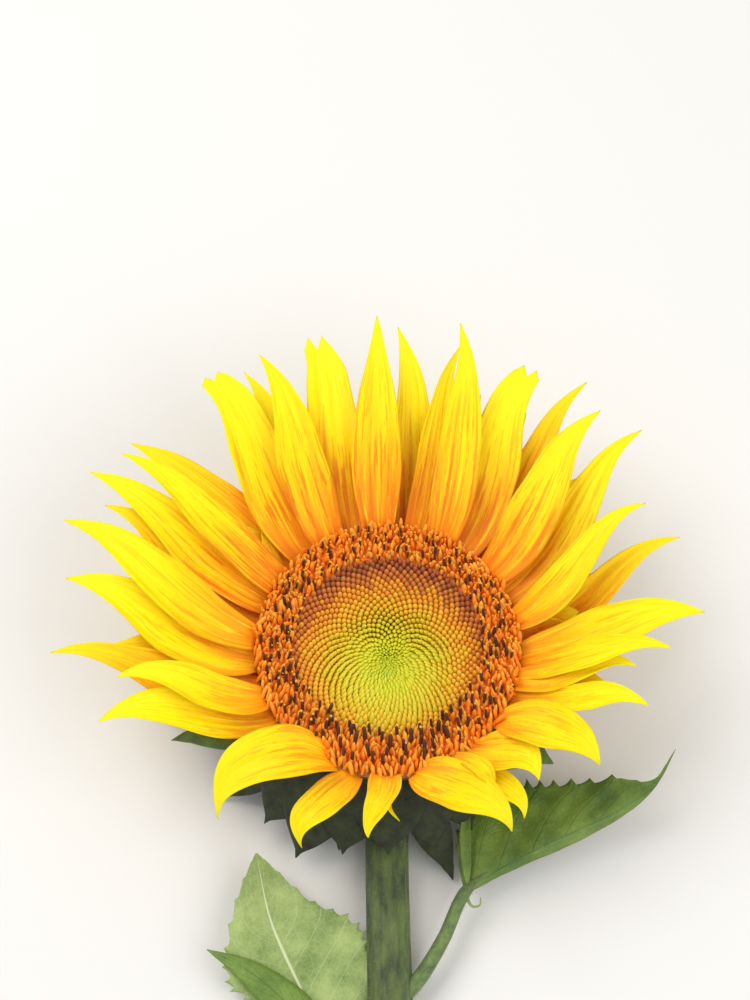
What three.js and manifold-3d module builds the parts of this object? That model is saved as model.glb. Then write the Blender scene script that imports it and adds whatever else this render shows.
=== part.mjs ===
// Cut sunflower, lying on its back: one bloom with its rays, disc and involucre, the length of stem
// below it, and two leaves on their petioles.
// Millimetres, +Z up from the floor, +Y along the stem towards the bloom. The shapes are worked out
// about the head's own upright axis, and the group then moves them so that the origin is under the
// middle of the whole flower, on the floor.

import * as THREE from 'three';
import { mergeVertices } from 'three/addons/utils/BufferGeometryUtils.js';
import Module from 'manifold-3d';

const kernel = await Module();
kernel.setup();

// Fits and shapes shared by all blades
const SEAT_GAP = 0.3;
const CURVE_HANDLE = 0.36;
const SWELL_FULLNESS = 2.5;

// Head, measured from its own upright axis
const FLORET_PLANE = 54;
const DISC_RADIUS = 49.7;
const BEAD_RADIUS = 38;
const DISC_BELOW_FLORETS = 1;
const DISH_DEPTH = 5;
const DISC_UNDERSIDE = FLORET_PLANE - 10;
const RIM_RADIUS = 52;
const RIM_TOP = FLORET_PLANE - 0.5;
const RECEPTACLE_BACK = 27.3;
const RECEPTACLE_SLOPE = [
  [26, RECEPTACLE_BACK + 3.5],
  [42, RECEPTACLE_BACK + 7],
  [51, RECEPTACLE_BACK + 12],
  [RIM_RADIUS, FLORET_PLANE - 11],
];
const NECK_RADIUS = 10.5;
const HEAD_SEGMENTS = 36;

// Disc florets
const DISC_PROFILE_RADII = [DISC_RADIUS, 44, BEAD_RADIUS, 30, 21, 11];
const BEAD_COUNT = 50;
const BEAD_WIDTH = 5.4;
const BEAD_HEIGHT = 1.9;
const BEAD_SUNK = 1.6;
const BEAD_MARGIN = 1.5;
const FLORET_RINGS = [
  { radius: 41.5, count: 20, height: 4.2, lean: 24, turn: 0.5 },
  { radius: 46.2, count: 22, height: 6.2, lean: 14, turn: 0 },
];
const FLORET_WIDTH = 3.6;
const FLORET_SUNK = 2;
const FLORET_FOOT_SHARE = 0.56;
const FLORET_TOP_SHARE = 0.3;
const GOLDEN_ANGLE = Math.PI * (3 - Math.sqrt(5));

// Rays grow from the rim in three rows. The front row stands steepest.
const RAY_ROOT_RADIUS = 52.8;
const RAY_ROOT_HALF_WIDTH = 4.6;
const RAY_THICKNESS = 1.2;
const RAY_WIDEST_AT = 0.46;
const RAY_TIP_HALF_WIDTH = 0.5;
const RAY_STATIONS = 8;
const RAY_COLUMNS = 4;
const RAY_TAPER = 1.75;
const RAY_HOOK = 3.2;
const RAY_HOOK_LATE = 2.6;
const RAY_HOOK_ONSET = 3;
const NOTCH_START = 0.8;
const NOTCH_TIP_SHARE = 0.5;
const ROWS = {
  front: { rootDrop: 2.2, tipHeight: 20, leave: 30, arrive: 2, cup: 2.2 },
  middle: { rootDrop: 5.2, tipHeight: 14, leave: 20, arrive: 2, cup: 1.8 },
  back: { rootDrop: 8.2, tipHeight: 8, leave: 11, arrive: 0, cup: 1.4 },
};

// Each ray: azimuth of its root and of its tip in degrees, reach of the tip from the head's axis and
// greatest width in millimetres, its row, and what differs from that row. leave and arrive are the
// slopes of the ray at its root and tip in degrees, heading is the azimuth it sets out in where that
// isn't straight out from the rim, notch is the depth between two end teeth, rootHalf is half the width
// of its root, and hook is how far the ray bows sideways before its tip turns back.
const RAYS = [
  { root: 94, tip: 91.8, reach: 139, width: 20, row: 'front', hook: 0 },
  { root: 80, tip: 88.2, reach: 138, width: 18, row: 'back', tipHeight: 12, hook: -3.5 },
  { root: 76, tip: 76.9, reach: 131, width: 14, row: 'middle' },
  { root: 66, tip: 77.5, reach: 139, width: 18, row: 'front', hook: -4 },
  { root: 56, tip: 63.5, reach: 132, width: 22, row: 'middle', notch: 4 },
  { root: 49, tip: 54.3, reach: 141, width: 15, row: 'back' },
  { root: 38, tip: 47.9, reach: 129, width: 21, row: 'front' },
  { root: 26, tip: 40.9, reach: 137, width: 21, row: 'middle' },
  { root: 14, tip: 27.8, reach: 117, width: 19, row: 'front' },
  { root: 8, tip: 20.8, reach: 126, width: 15, row: 'back' },
  { root: -1, tip: 4.5, reach: 126, width: 21, row: 'middle' },
  { root: -8, tip: -3.2, reach: 112, width: 17, row: 'front', tipHeight: 16 },
  { root: -14, tip: -6.5, reach: 99, width: 15, row: 'back', tipHeight: 5 },
  { root: -22, tip: -15.5, reach: 106, width: 17, row: 'middle', tipHeight: 11 },
  { root: -36, tip: -31, reach: 97, width: 22, row: 'front', tipHeight: 2, heading: 4, leave: 49,
    arrive: -46, notch: 3, rootHalf: 2.6 },
  { root: -53, tip: -44, reach: 82, width: 14, row: 'front', tipHeight: 4, heading: -22, leave: 11,
    arrive: -33, rootHalf: 2.4 },
  { root: -56, tip: -52, reach: 87, width: 12, row: 'middle', tipHeight: -8, leave: 19, arrive: -50,
    rootHalf: 2.6 },
  { root: -66, tip: -57.5, reach: 73, width: 11, row: 'back', tipHeight: -7, leave: 4, arrive: -20,
    rootHalf: 2.6 },
  { root: -79, tip: -57, reach: 89, width: 22, row: 'front', tipHeight: -6, heading: -36, leave: 52,
    arrive: -48, rootHalf: 3.2, hook: 4.5 },
  { root: 269, tip: 264.1, reach: 77, width: 13, row: 'front', tipHeight: -8, leave: 16, arrive: -48,
    rootHalf: 4 },
  { root: 257, tip: 247, reach: 87, width: 15, row: 'middle', tipHeight: -10, heading: 218, leave: 24,
    arrive: -62, rootHalf: 3, hook: -4.5 },
  { root: 247, tip: 226.5, reach: 97, width: 23, row: 'front', tipHeight: -4, heading: 166, leave: 58,
    arrive: -54, rootHalf: 3.2, hook: -6 },
  { root: 211, tip: 197.8, reach: 119, width: 22, row: 'middle' },
  { root: 203, tip: 190.2, reach: 108, width: 16, row: 'front', tipHeight: 18 },
  { root: 195, tip: 182.5, reach: 134, width: 20, row: 'back', tipHeight: 10 },
  { root: 184, tip: 169.3, reach: 131, width: 22, row: 'middle' },
  { root: 175, tip: 160.1, reach: 138, width: 20, row: 'front' },
  { root: 165, tip: 152.8, reach: 129, width: 16, row: 'back' },
  { root: 155, tip: 149.6, reach: 140, width: 21, row: 'middle' },
  { root: 147, tip: 144.6, reach: 132, width: 16, row: 'front' },
  { root: 137, tip: 140.5, reach: 136, width: 20, row: 'back' },
  { root: 128, tip: 122.3, reach: 136, width: 23, row: 'middle', notch: 3 },
  { root: 122, tip: 116.5, reach: 133, width: 16, row: 'back' },
  { root: 117, tip: 113.5, reach: 132, width: 20, row: 'front' },
  { root: 107, tip: 102.8, reach: 136, width: 23, row: 'middle', notch: 6 },
];

// Involucre bracts: azimuth in degrees, of the tip too where the bract turns aside, reach from the
// head's axis, height of the tip above the floor and greatest width. The tips that touch the floor
// carry the head.
const BRACT_ROOT_RADIUS = 44;
const OUTER_ROOT_HEIGHT = 36.6;
const INNER_ROOT_HEIGHT = 40.4;
const BRACT_ROOT_HALF_WIDTH = 8;
const BRACT_THICKNESS = 1.6;
const BRACT_STATIONS = 5;
const BRACT_COLUMNS = 2;
const BRACT_LEAVE = -14;
const BRACT_WIDEST_AT = 0.4;
const BRACT_TIP_HALF_WIDTH = 0.6;
const BRACT_TAPER = 1.7;
const BRACT_ARCH = 2.4;
const OUTER_BRACTS = [
  { azimuth: 270, reach: 76, tip: 21.5, width: 30, arrive: -28 },
  { azimuth: 243, reach: 82, tip: 8, width: 30, arrive: -48 },
  { azimuth: 214, reach: 82, tip: 1.4, width: 27, arrive: -52 },
  { azimuth: 187, reach: 93, tip: 3, width: 26, arrive: -36 },
  { azimuth: 155, reach: 82, tip: 1.4, width: 27, arrive: -48 },
  { azimuth: 122, reach: 84, tip: 1.4, width: 27, arrive: -48 },
  { azimuth: 90, reach: 82, tip: 1.4, width: 27, arrive: -52 },
  { azimuth: 57, reach: 84, tip: 1.4, width: 27, arrive: -48 },
  { azimuth: 25, reach: 80, tip: 1.4, width: 27, arrive: -52 },
  { azimuth: -4, reach: 78, tip: 1.4, width: 26, arrive: -50 },
  { azimuth: -24, reach: 66, tip: 5, width: 21, arrive: -62 },
  { azimuth: -79, tipAzimuth: -72, reach: 85, tip: 3, width: 17, arrive: -44 },
];
const INNER_BRACTS = [
  { azimuth: 254, reach: 72, tip: 6, width: 22, arrive: -60 },
  { azimuth: 227, reach: 70, tip: 14, width: 24, arrive: -44 },
  { azimuth: 201, reach: 72, tip: 16, width: 24, arrive: -36 },
  { azimuth: 171, reach: 74, tip: 20, width: 24, arrive: -30 },
  { azimuth: 138, reach: 74, tip: 20, width: 24, arrive: -30 },
  { azimuth: 106, reach: 74, tip: 20, width: 24, arrive: -30 },
  { azimuth: 73, reach: 74, tip: 20, width: 24, arrive: -30 },
  { azimuth: 41, reach: 74, tip: 20, width: 24, arrive: -30 },
  { azimuth: 10, reach: 73, tip: 20, width: 24, arrive: -30 },
  { azimuth: -16, reach: 70, tip: 18, width: 22, arrive: -36 },
  { azimuth: -50, reach: 64, tip: 26, width: 20, arrive: -24 },
];

// Stem, lying on the floor and turning up into the head
const STEM_CUT_Y = -215;
const STEM_CUT_RADIUS = 9.5;
const STEM_RADIUS = 8.8;
const STEM_TAPER_START = -200;
const STEM_TAPER_END = -90;
const STEM_BEND_RADIUS = 16;
const STEM_BEND_STEPS = 5;
const NECK_TOP = 27;
const NECK_FLARE_START = 18;
const NECK_FLARE = 1.4;
const STEM_SIDES = 16;
const STEM_STEPS = 24;
const STEM_SWAY = [
  { y: STEM_CUT_Y, x: 1.4 },
  { y: STEM_TAPER_START, x: 1.4 },
  { y: -165, x: 1.2 },
  { y: -134, x: 0.8 },
  { y: -75, x: -0.4 },
  { y: -40, x: 0 },
];

// Petioles: from inside the stem to the foot of the leaf
const PETIOLE_SIDES = 10;
const PETIOLE_STEPS = 9;
const RIGHT_PETIOLE = {
  path: [[2, -134, 9], [12, -124, 9.6], [22, -108, 10.6], [31, -89, 13]],
  footRadius: 4.4,
  tipRadius: 2.7,
};
const LEFT_PETIOLE = {
  path: [[-3, -194, 9], [-10, -187, 9], [-17.5, -173, 8], [-22, -156, 7]],
  footRadius: 4.4,
  tipRadius: 2.6,
};

// Leaf blades: on either side of the midrib, the greatest half-width, where it lies, how full the side
// is towards the foot, how sharp towards the tip, and its turn. A near side turned by plus hangs down, a
// far one stands up. The lobes reach back at the foot.
const LEAF_THICKNESS = 1.4;
const LEAF_STATIONS = 14;
const LEAF_COLUMNS = 6;
const LEAF_TEETH = 0.06;
const LEAF_FOOT_HALF_WIDTH = 2.4;
const LEAF_TIP_HALF_WIDTH = 0.7;
const LEAF_LOBE_SHARE = 0.125;
const RIGHT_LEAF = {
  midrib: [
    [31.2, -88.3, 13.2], [45.5, -79.8, 16], [62, -71.7, 19], [77.2, -65.1, 21], [93.3, -57.6, 23],
    [107.4, -48.4, 27], [115.5, -35.4, 33],
  ],
  near: { half: 8, widestAt: 0.42, fullness: 1.6, sharpness: 1.3, turn: 74 },
  far: { half: 29, widestAt: 0.3, fullness: 2.5, sharpness: 1.05, turn: -6 },
  lobe: 3,
  ribDepth: 2.4,
};
const LEFT_LEAF = {
  midrib: [
    [-22.3, -155.3, 7.2], [-31.5, -134, 9], [-40.7, -115, 10.5], [-47.3, -99, 12], [-53, -73, 14],
  ],
  near: { half: 31, widestAt: 0.5, fullness: 2.5, sharpness: 1.35, turn: -2 },
  far: { half: 24, widestAt: 0.5, fullness: 1.2, sharpness: 1.6, turn: 3 },
  lobe: 4,
  ribDepth: 2.4,
};

const COLOURS = {
  ray: '#ffd400',
  discFloret: '#c9812a',
  involucre: '#3a4a38',
  stem: '#4e6138',
  leafUpper: '#5e7d3a',
  leafUnder: '#9db37e',
};

const radians = THREE.MathUtils.degToRad;

function material(colour, roughness) {
  return new THREE.MeshStandardMaterial({ color: colour, roughness, metalness: 0 });
}

function vectors(points) {
  return points.map((point) => new THREE.Vector3(...point));
}

function geometryFrom(vertices, triangles) {
  const geometry = new THREE.BufferGeometry();
  const positions = vertices.flatMap((vertex) => [vertex.x, vertex.y, vertex.z]);
  geometry.setAttribute('position', new THREE.Float32BufferAttribute(positions, 3));
  geometry.setIndex(triangles.flat());
  return geometry;
}

// Joining and cutting of closed shapes
function solidFrom(geometry) {
  const bare = geometry.clone();
  bare.deleteAttribute('normal');
  bare.deleteAttribute('uv');
  const merged = mergeVertices(bare, 1e-4);
  const index = merged.index.array;
  const triangles = [];
  for (let i = 0; i < index.length; i += 3) {
    const [a, b, c] = [index[i], index[i + 1], index[i + 2]];
    if (a !== b && b !== c && c !== a) {
      triangles.push(a, b, c);
    }
  }
  return new kernel.Manifold(new kernel.Mesh({
    numProp: 3,
    vertProperties: Float32Array.from(merged.attributes.position.array),
    triVerts: Uint32Array.from(triangles),
  }));
}

function geometryOf(solid) {
  const mesh = solid.getMesh();
  const geometry = new THREE.BufferGeometry();
  geometry.setAttribute('position', new THREE.Float32BufferAttribute(mesh.vertProperties, 3));
  geometry.setIndex(Array.from(mesh.triVerts));
  return geometry;
}

function joined(geometries) {
  return geometries.map(solidFrom).reduce((sum, solid) => sum.add(solid));
}

// A closed blade along a spine. place(t, v) gives a point's offsets across, above and along the spine,
// for t from 0 at the root to 1 at the tip and v from -1 to 1 across. depth(t, v) is the thickness.
function bladeGeometry({ spine, sideways, place, depth, stations, columns }) {
  const vertices = [];
  const layer = (stations + 1) * (columns + 1);
  for (const under of [0, 1]) {
    for (let i = 0; i <= stations; i += 1) {
      const t = i / stations;
      const tangent = spine.getTangent(t);
      const side = sideways.clone().addScaledVector(tangent, -sideways.dot(tangent)).normalize();
      const normal = tangent.clone().cross(side);
      for (let j = 0; j <= columns; j += 1) {
        const v = (2 * j) / columns - 1;
        const offset = place(t, v);
        const point = spine.getPoint(t);
        point.addScaledVector(side, offset.across);
        point.addScaledVector(normal, offset.above - under * depth(t, v));
        point.addScaledVector(tangent, offset.along ?? 0);
        vertices.push(point);
      }
    }
  }
  const at = (under, i, j) => under * layer + i * (columns + 1) + j;
  const triangles = [];
  const quad = (a, b, c, d) => triangles.push([a, b, c], [a, c, d]);
  for (let i = 0; i < stations; i += 1) {
    for (let j = 0; j < columns; j += 1) {
      quad(at(0, i, j), at(0, i + 1, j), at(0, i + 1, j + 1), at(0, i, j + 1));
      quad(at(1, i, j), at(1, i, j + 1), at(1, i + 1, j + 1), at(1, i + 1, j));
    }
    quad(at(0, i, columns), at(0, i + 1, columns), at(1, i + 1, columns), at(1, i, columns));
    quad(at(0, i, 0), at(1, i, 0), at(1, i + 1, 0), at(0, i + 1, 0));
  }
  for (let j = 0; j < columns; j += 1) {
    quad(at(0, stations, j), at(1, stations, j), at(1, stations, j + 1), at(0, stations, j + 1));
    quad(at(0, 0, j), at(0, 0, j + 1), at(1, 0, j + 1), at(1, 0, j));
  }
  return geometryFrom(vertices, triangles);
}

// A closed round limb along a path, with a flat cap at each end
function limbGeometry({ path, reference, radius, sides, steps }) {
  const vertices = [];
  for (let i = 0; i <= steps; i += 1) {
    const t = i / steps;
    const tangent = path.getTangent(t);
    const side = reference.clone().addScaledVector(tangent, -reference.dot(tangent)).normalize();
    const up = tangent.clone().cross(side);
    const centre = path.getPoint(t);
    for (let j = 0; j < sides; j += 1) {
      const angle = (2 * Math.PI * j) / sides;
      const point = centre.clone();
      point.addScaledVector(side, Math.cos(angle) * radius(t, centre));
      point.addScaledVector(up, Math.sin(angle) * radius(t, centre));
      vertices.push(point);
    }
  }
  const foot = vertices.push(path.getPoint(0)) - 1;
  const head = vertices.push(path.getPoint(1)) - 1;
  const triangles = [];
  for (let j = 0; j < sides; j += 1) {
    const next = (j + 1) % sides;
    for (let i = 0; i < steps; i += 1) {
      const [a, b] = [i * sides + j, i * sides + next];
      triangles.push([a, b, b + sides], [a, b + sides, a + sides]);
    }
    triangles.push([foot, next, j], [head, steps * sides + j, steps * sides + next]);
  }
  return geometryFrom(vertices, triangles);
}

// A turned solid about the head's axis
function turnedGeometry(profile, segments) {
  const points = profile.map(([radius, height]) => new THREE.Vector2(radius, height));
  return new THREE.LatheGeometry(points, segments).rotateX(Math.PI / 2);
}

// A direction and a place on the head, by azimuth, slope, radius and height
function radial(azimuth) {
  return new THREE.Vector3(Math.cos(azimuth), Math.sin(azimuth), 0);
}

function onHead(azimuth, radius, height) {
  return radial(azimuth).multiplyScalar(radius).setZ(height);
}

function sloping(azimuth, slope) {
  return radial(azimuth).multiplyScalar(Math.cos(slope)).setZ(Math.sin(slope));
}

// The curve of a ray or bract. It leaves its root at one slope and meets its tip at another
function headSpine({
  rootAzimuth, tipAzimuth, rootRadius, rootHeight, reach, tipHeight, leave, arrive, heading,
}) {
  const root = onHead(rootAzimuth, rootRadius, rootHeight);
  const tip = onHead(tipAzimuth, reach, tipHeight);
  const handle = root.distanceTo(tip) * CURVE_HANDLE;
  const first = root.clone().addScaledVector(sloping(heading ?? rootAzimuth, leave), handle);
  const outward = tip.clone().sub(root).setZ(0).normalize().add(radial(tipAzimuth)).normalize();
  const landing = outward.multiplyScalar(Math.cos(arrive)).setZ(Math.sin(arrive));
  const second = tip.clone().addScaledVector(landing, -handle);
  return new THREE.CubicBezierCurve3(root, first, second, tip);
}

// Half-width along a blade: it swells quickly from its root and tapers from its widest place
function swell(t, widestAt, root, widest, tip, sharpness, fullness = SWELL_FULLNESS) {
  if (t < widestAt) {
    const u = 1 - t / widestAt;
    return root + (widest - root) * (1 - u ** fullness);
  }
  const u = (t - widestAt) / (1 - widestAt);
  return widest + (tip - widest) * u ** sharpness;
}

// The room that the rim needs, which trims the foot of a ray that sets out along it
function rimRoom() {
  return solidFrom(turnedGeometry([
    [0, RECEPTACLE_BACK],
    [RIM_RADIUS + SEAT_GAP, RECEPTACLE_BACK],
    [RIM_RADIUS + SEAT_GAP, RIM_TOP + SEAT_GAP],
    [0, RIM_TOP + SEAT_GAP],
  ], HEAD_SEGMENTS));
}

function rayGeometry(ray) {
  const settings = { ...ROWS[ray.row], notch: 0, rootHalf: RAY_ROOT_HALF_WIDTH, ...ray };
  const azimuth = radians(settings.root);
  const droop = THREE.MathUtils.clamp(RAY_HOOK_ONSET * Math.cos(radians(settings.tip)), -1, 1);
  const hook = settings.hook ?? RAY_HOOK * droop;
  const spine = headSpine({
    rootAzimuth: azimuth,
    tipAzimuth: radians(settings.tip),
    rootRadius: RAY_ROOT_RADIUS,
    rootHeight: FLORET_PLANE - settings.rootDrop,
    reach: settings.reach,
    tipHeight: FLORET_PLANE + settings.tipHeight,
    leave: radians(settings.leave),
    arrive: radians(settings.arrive),
    heading: radians(settings.heading ?? settings.root),
  });
  const chord = spine.v3.clone().sub(spine.v0);
  const widest = settings.width / 2;
  const tipHalfWidth = settings.notch > 0 ? widest * NOTCH_TIP_SHARE : RAY_TIP_HALF_WIDTH;
  const blade = bladeGeometry({
    spine,
    sideways: new THREE.Vector3(-chord.y, chord.x, 0),
    place: (t, v) => {
      const halfWidth = swell(t, RAY_WIDEST_AT, settings.rootHalf, widest, tipHalfWidth, RAY_TAPER);
      const nearTip = Math.max(0, (t - NOTCH_START) / (1 - NOTCH_START));
      return {
        across: v * halfWidth + hook * Math.sin(Math.PI * t ** RAY_HOOK_LATE),
        above: settings.cup * v * v * (halfWidth / widest),
        along: -settings.notch * nearTip * Math.abs(2 * Math.abs(v) - 1),
      };
    },
    depth: () => RAY_THICKNESS,
    stations: RAY_STATIONS,
    columns: RAY_COLUMNS,
  });
  return settings.heading === undefined ? blade : geometryOf(solidFrom(blade).subtract(rimRoom()));
}

function bractGeometry(bract, rootHeight) {
  const azimuth = radians(bract.azimuth);
  const spine = headSpine({
    rootAzimuth: azimuth,
    tipAzimuth: radians(bract.tipAzimuth ?? bract.azimuth),
    rootRadius: BRACT_ROOT_RADIUS,
    rootHeight,
    reach: bract.reach,
    tipHeight: bract.tip,
    leave: radians(BRACT_LEAVE),
    arrive: radians(bract.arrive),
  });
  return bladeGeometry({
    spine,
    sideways: radial(azimuth + Math.PI / 2),
    place: (t, v) => {
      const widest = bract.width / 2;
      const halfWidth = swell(
        t, BRACT_WIDEST_AT, BRACT_ROOT_HALF_WIDTH, widest, BRACT_TIP_HALF_WIDTH, BRACT_TAPER,
      );
      return { across: v * halfWidth, above: -BRACT_ARCH * v * v * (1 - t) };
    },
    depth: () => BRACT_THICKNESS,
    stations: BRACT_STATIONS,
    columns: BRACT_COLUMNS,
  });
}

// The dish that carries the disc, the rays on its rim and the bracts below them
function involucreGeometry() {
  const receptacle = turnedGeometry([
    [0, RECEPTACLE_BACK],
    [NECK_RADIUS, RECEPTACLE_BACK],
    ...RECEPTACLE_SLOPE,
    [RIM_RADIUS, RIM_TOP],
    [DISC_RADIUS + SEAT_GAP, RIM_TOP],
    [DISC_RADIUS + SEAT_GAP, DISC_UNDERSIDE - SEAT_GAP],
    [0, DISC_UNDERSIDE - SEAT_GAP],
  ], HEAD_SEGMENTS);
  const outer = OUTER_BRACTS.map((bract) => bractGeometry(bract, OUTER_ROOT_HEIGHT));
  const inner = INNER_BRACTS.map((bract) => bractGeometry(bract, INNER_ROOT_HEIGHT));
  return geometryOf(joined([receptacle, ...outer, ...inner]));
}

// Height of the disc's surface at a radius: a shallow dish inside the open florets
function discSurface(radius) {
  const dish = Math.min(1, radius / BEAD_RADIUS);
  return FLORET_PLANE - DISC_BELOW_FLORETS - DISH_DEPTH * (1 - dish ** 2);
}

// One floret of the disc: a tapering post with its root sunk in, leaning towards the disc's middle
function floretGeometry({ azimuth, radius, width, height, lean, sunk }) {
  const floret = new THREE.CylinderGeometry(
    width * FLORET_TOP_SHARE, width * FLORET_FOOT_SHARE, height + sunk, 4, 1,
  );
  floret.rotateX(Math.PI / 2);
  floret.translate(0, 0, (height - sunk) / 2);
  floret.rotateY(-radians(lean));
  floret.rotateZ(azimuth);
  const foot = onHead(azimuth, radius, discSurface(radius));
  return floret.translate(foot.x, foot.y, foot.z);
}

function discGeometry() {
  const surface = DISC_PROFILE_RADII.map((radius) => [radius, discSurface(radius)]);
  const pad = turnedGeometry([
    [0, DISC_UNDERSIDE],
    [DISC_RADIUS, DISC_UNDERSIDE],
    ...surface,
    [0, discSurface(0)],
  ], HEAD_SEGMENTS);
  const florets = [];
  for (let i = 0; i < BEAD_COUNT; i += 1) {
    florets.push(floretGeometry({
      azimuth: i * GOLDEN_ANGLE,
      radius: (BEAD_RADIUS - BEAD_MARGIN) * Math.sqrt((i + 0.5) / BEAD_COUNT),
      width: BEAD_WIDTH,
      height: BEAD_HEIGHT,
      lean: 0,
      sunk: BEAD_SUNK,
    }));
  }
  for (const ring of FLORET_RINGS) {
    for (let i = 0; i < ring.count; i += 1) {
      florets.push(floretGeometry({
        azimuth: (2 * Math.PI * (i + ring.turn)) / ring.count,
        radius: ring.radius,
        width: FLORET_WIDTH,
        height: ring.height,
        lean: ring.lean,
        sunk: FLORET_SUNK,
      }));
    }
  }
  return geometryOf(joined([pad, ...florets]));
}

// Thickness of the stem, by place: it tapers towards the head and flares into the receptacle
function stemRadius(y, z) {
  const along = THREE.MathUtils.clamp((y - STEM_TAPER_START) / (STEM_TAPER_END - STEM_TAPER_START), 0, 1);
  const flare = Math.max(0, (z - NECK_FLARE_START) / (NECK_TOP - NECK_FLARE_START));
  return THREE.MathUtils.lerp(STEM_CUT_RADIUS, STEM_RADIUS, along) + NECK_FLARE * flare ** 2;
}

function stemPath() {
  const points = STEM_SWAY.map(({ y, x }) => new THREE.Vector3(x, y, stemRadius(y, 0)));
  for (let i = 0; i <= STEM_BEND_STEPS; i += 1) {
    const angle = ((i / STEM_BEND_STEPS) * Math.PI) / 2;
    points.push(new THREE.Vector3(
      0,
      STEM_BEND_RADIUS * (Math.sin(angle) - 1),
      STEM_RADIUS + STEM_BEND_RADIUS * (1 - Math.cos(angle)),
    ));
  }
  points.push(new THREE.Vector3(0, 0, NECK_TOP));
  return new THREE.CatmullRomCurve3(points);
}

function stemGeometry(extra = 0) {
  return limbGeometry({
    path: stemPath(),
    reference: new THREE.Vector3(1, 0, 0),
    radius: (t, point) => stemRadius(point.y, point.z) + extra,
    sides: STEM_SIDES,
    steps: STEM_STEPS,
  });
}

function wholePetiole({ path, footRadius, tipRadius }, extra = 0) {
  return limbGeometry({
    path: new THREE.CatmullRomCurve3(vectors(path)),
    reference: new THREE.Vector3(0, 0, 1),
    radius: (t) => footRadius + (tipRadius - footRadius) * Math.sqrt(t) + extra,
    sides: PETIOLE_SIDES,
    steps: PETIOLE_STEPS,
  });
}

function petioleGeometry(petiole) {
  return geometryOf(solidFrom(wholePetiole(petiole)).subtract(solidFrom(stemGeometry(SEAT_GAP))));
}

function leafGeometry(leaf, petiole) {
  const spine = new THREE.CatmullRomCurve3(vectors(leaf.midrib));
  const chord = spine.getPoint(1).sub(spine.getPoint(0)).setZ(0).normalize();
  const blade = bladeGeometry({
    spine,
    sideways: new THREE.Vector3(-chord.y, chord.x, 0),
    place: (t, v) => {
      const side = v < 0 ? leaf.near : leaf.far;
      const turn = radians(side.turn);
      const tooth = Math.abs(v) === 1 ? LEAF_TEETH * (Math.round(t * LEAF_STATIONS) % 2) : 0;
      const smooth = swell(
        t, side.widestAt, LEAF_FOOT_HALF_WIDTH, side.half, LEAF_TIP_HALF_WIDTH, side.sharpness,
        side.fullness,
      );
      const halfWidth = smooth * (1 + tooth);
      return {
        across: v * halfWidth * Math.cos(turn),
        above: v * halfWidth * Math.sin(turn),
        along: -Math.abs(v) * leaf.lobe * (1 - t) * Math.min(1, t / LEAF_LOBE_SHARE),
      };
    },
    depth: (t, v) => LEAF_THICKNESS + leaf.ribDepth * (1 - t) * (v === 0 ? 1 : 0),
    stations: LEAF_STATIONS,
    columns: LEAF_COLUMNS,
  });
  return geometryOf(solidFrom(blade)
    .subtract(solidFrom(wholePetiole(petiole, SEAT_GAP)))
    .subtract(solidFrom(stemGeometry(SEAT_GAP))));
}

function piece(name, geometry, finish) {
  geometry.computeVertexNormals();
  const mesh = new THREE.Mesh(geometry, finish);
  mesh.name = name;
  return mesh;
}

const flower = new THREE.Group();
flower.add(piece('stem', stemGeometry(), material(COLOURS.stem, 0.7)));
flower.add(piece('involucre', involucreGeometry(), material(COLOURS.involucre, 0.75)));
flower.add(piece('disc', discGeometry(), material(COLOURS.discFloret, 0.8)));
RAYS.forEach((ray, index) => {
  const name = `ray_${String(index + 1).padStart(2, '0')}`;
  flower.add(piece(name, rayGeometry(ray), material(COLOURS.ray, 0.5)));
});
flower.add(piece('petiole_right', petioleGeometry(RIGHT_PETIOLE), material(COLOURS.leafUpper, 0.65)));
flower.add(piece('petiole_left', petioleGeometry(LEFT_PETIOLE), material(COLOURS.leafUnder, 0.65)));
flower.add(piece('leaf_right', leafGeometry(RIGHT_LEAF, RIGHT_PETIOLE), material(COLOURS.leafUpper, 0.6)));
flower.add(piece('leaf_left', leafGeometry(LEFT_LEAF, LEFT_PETIOLE), material(COLOURS.leafUnder, 0.6)));

// The origin goes under the middle of the whole flower, on the floor
const reach = new THREE.Box3().setFromObject(flower, true);
const middle = reach.getCenter(new THREE.Vector3());
flower.position.set(-middle.x, -middle.y, -reach.min.z);

export default flower;
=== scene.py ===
"""Cut sunflower, lying on its back: rays, disc florets, involucre, stem and leaves.

Shapes are worked out in millimetres from the head's own upright axis, as on the solids they cover, and
put in their place in metres. +Z is up from the floor, and +Y runs along the stem towards the bloom.
"""

import math

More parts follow.
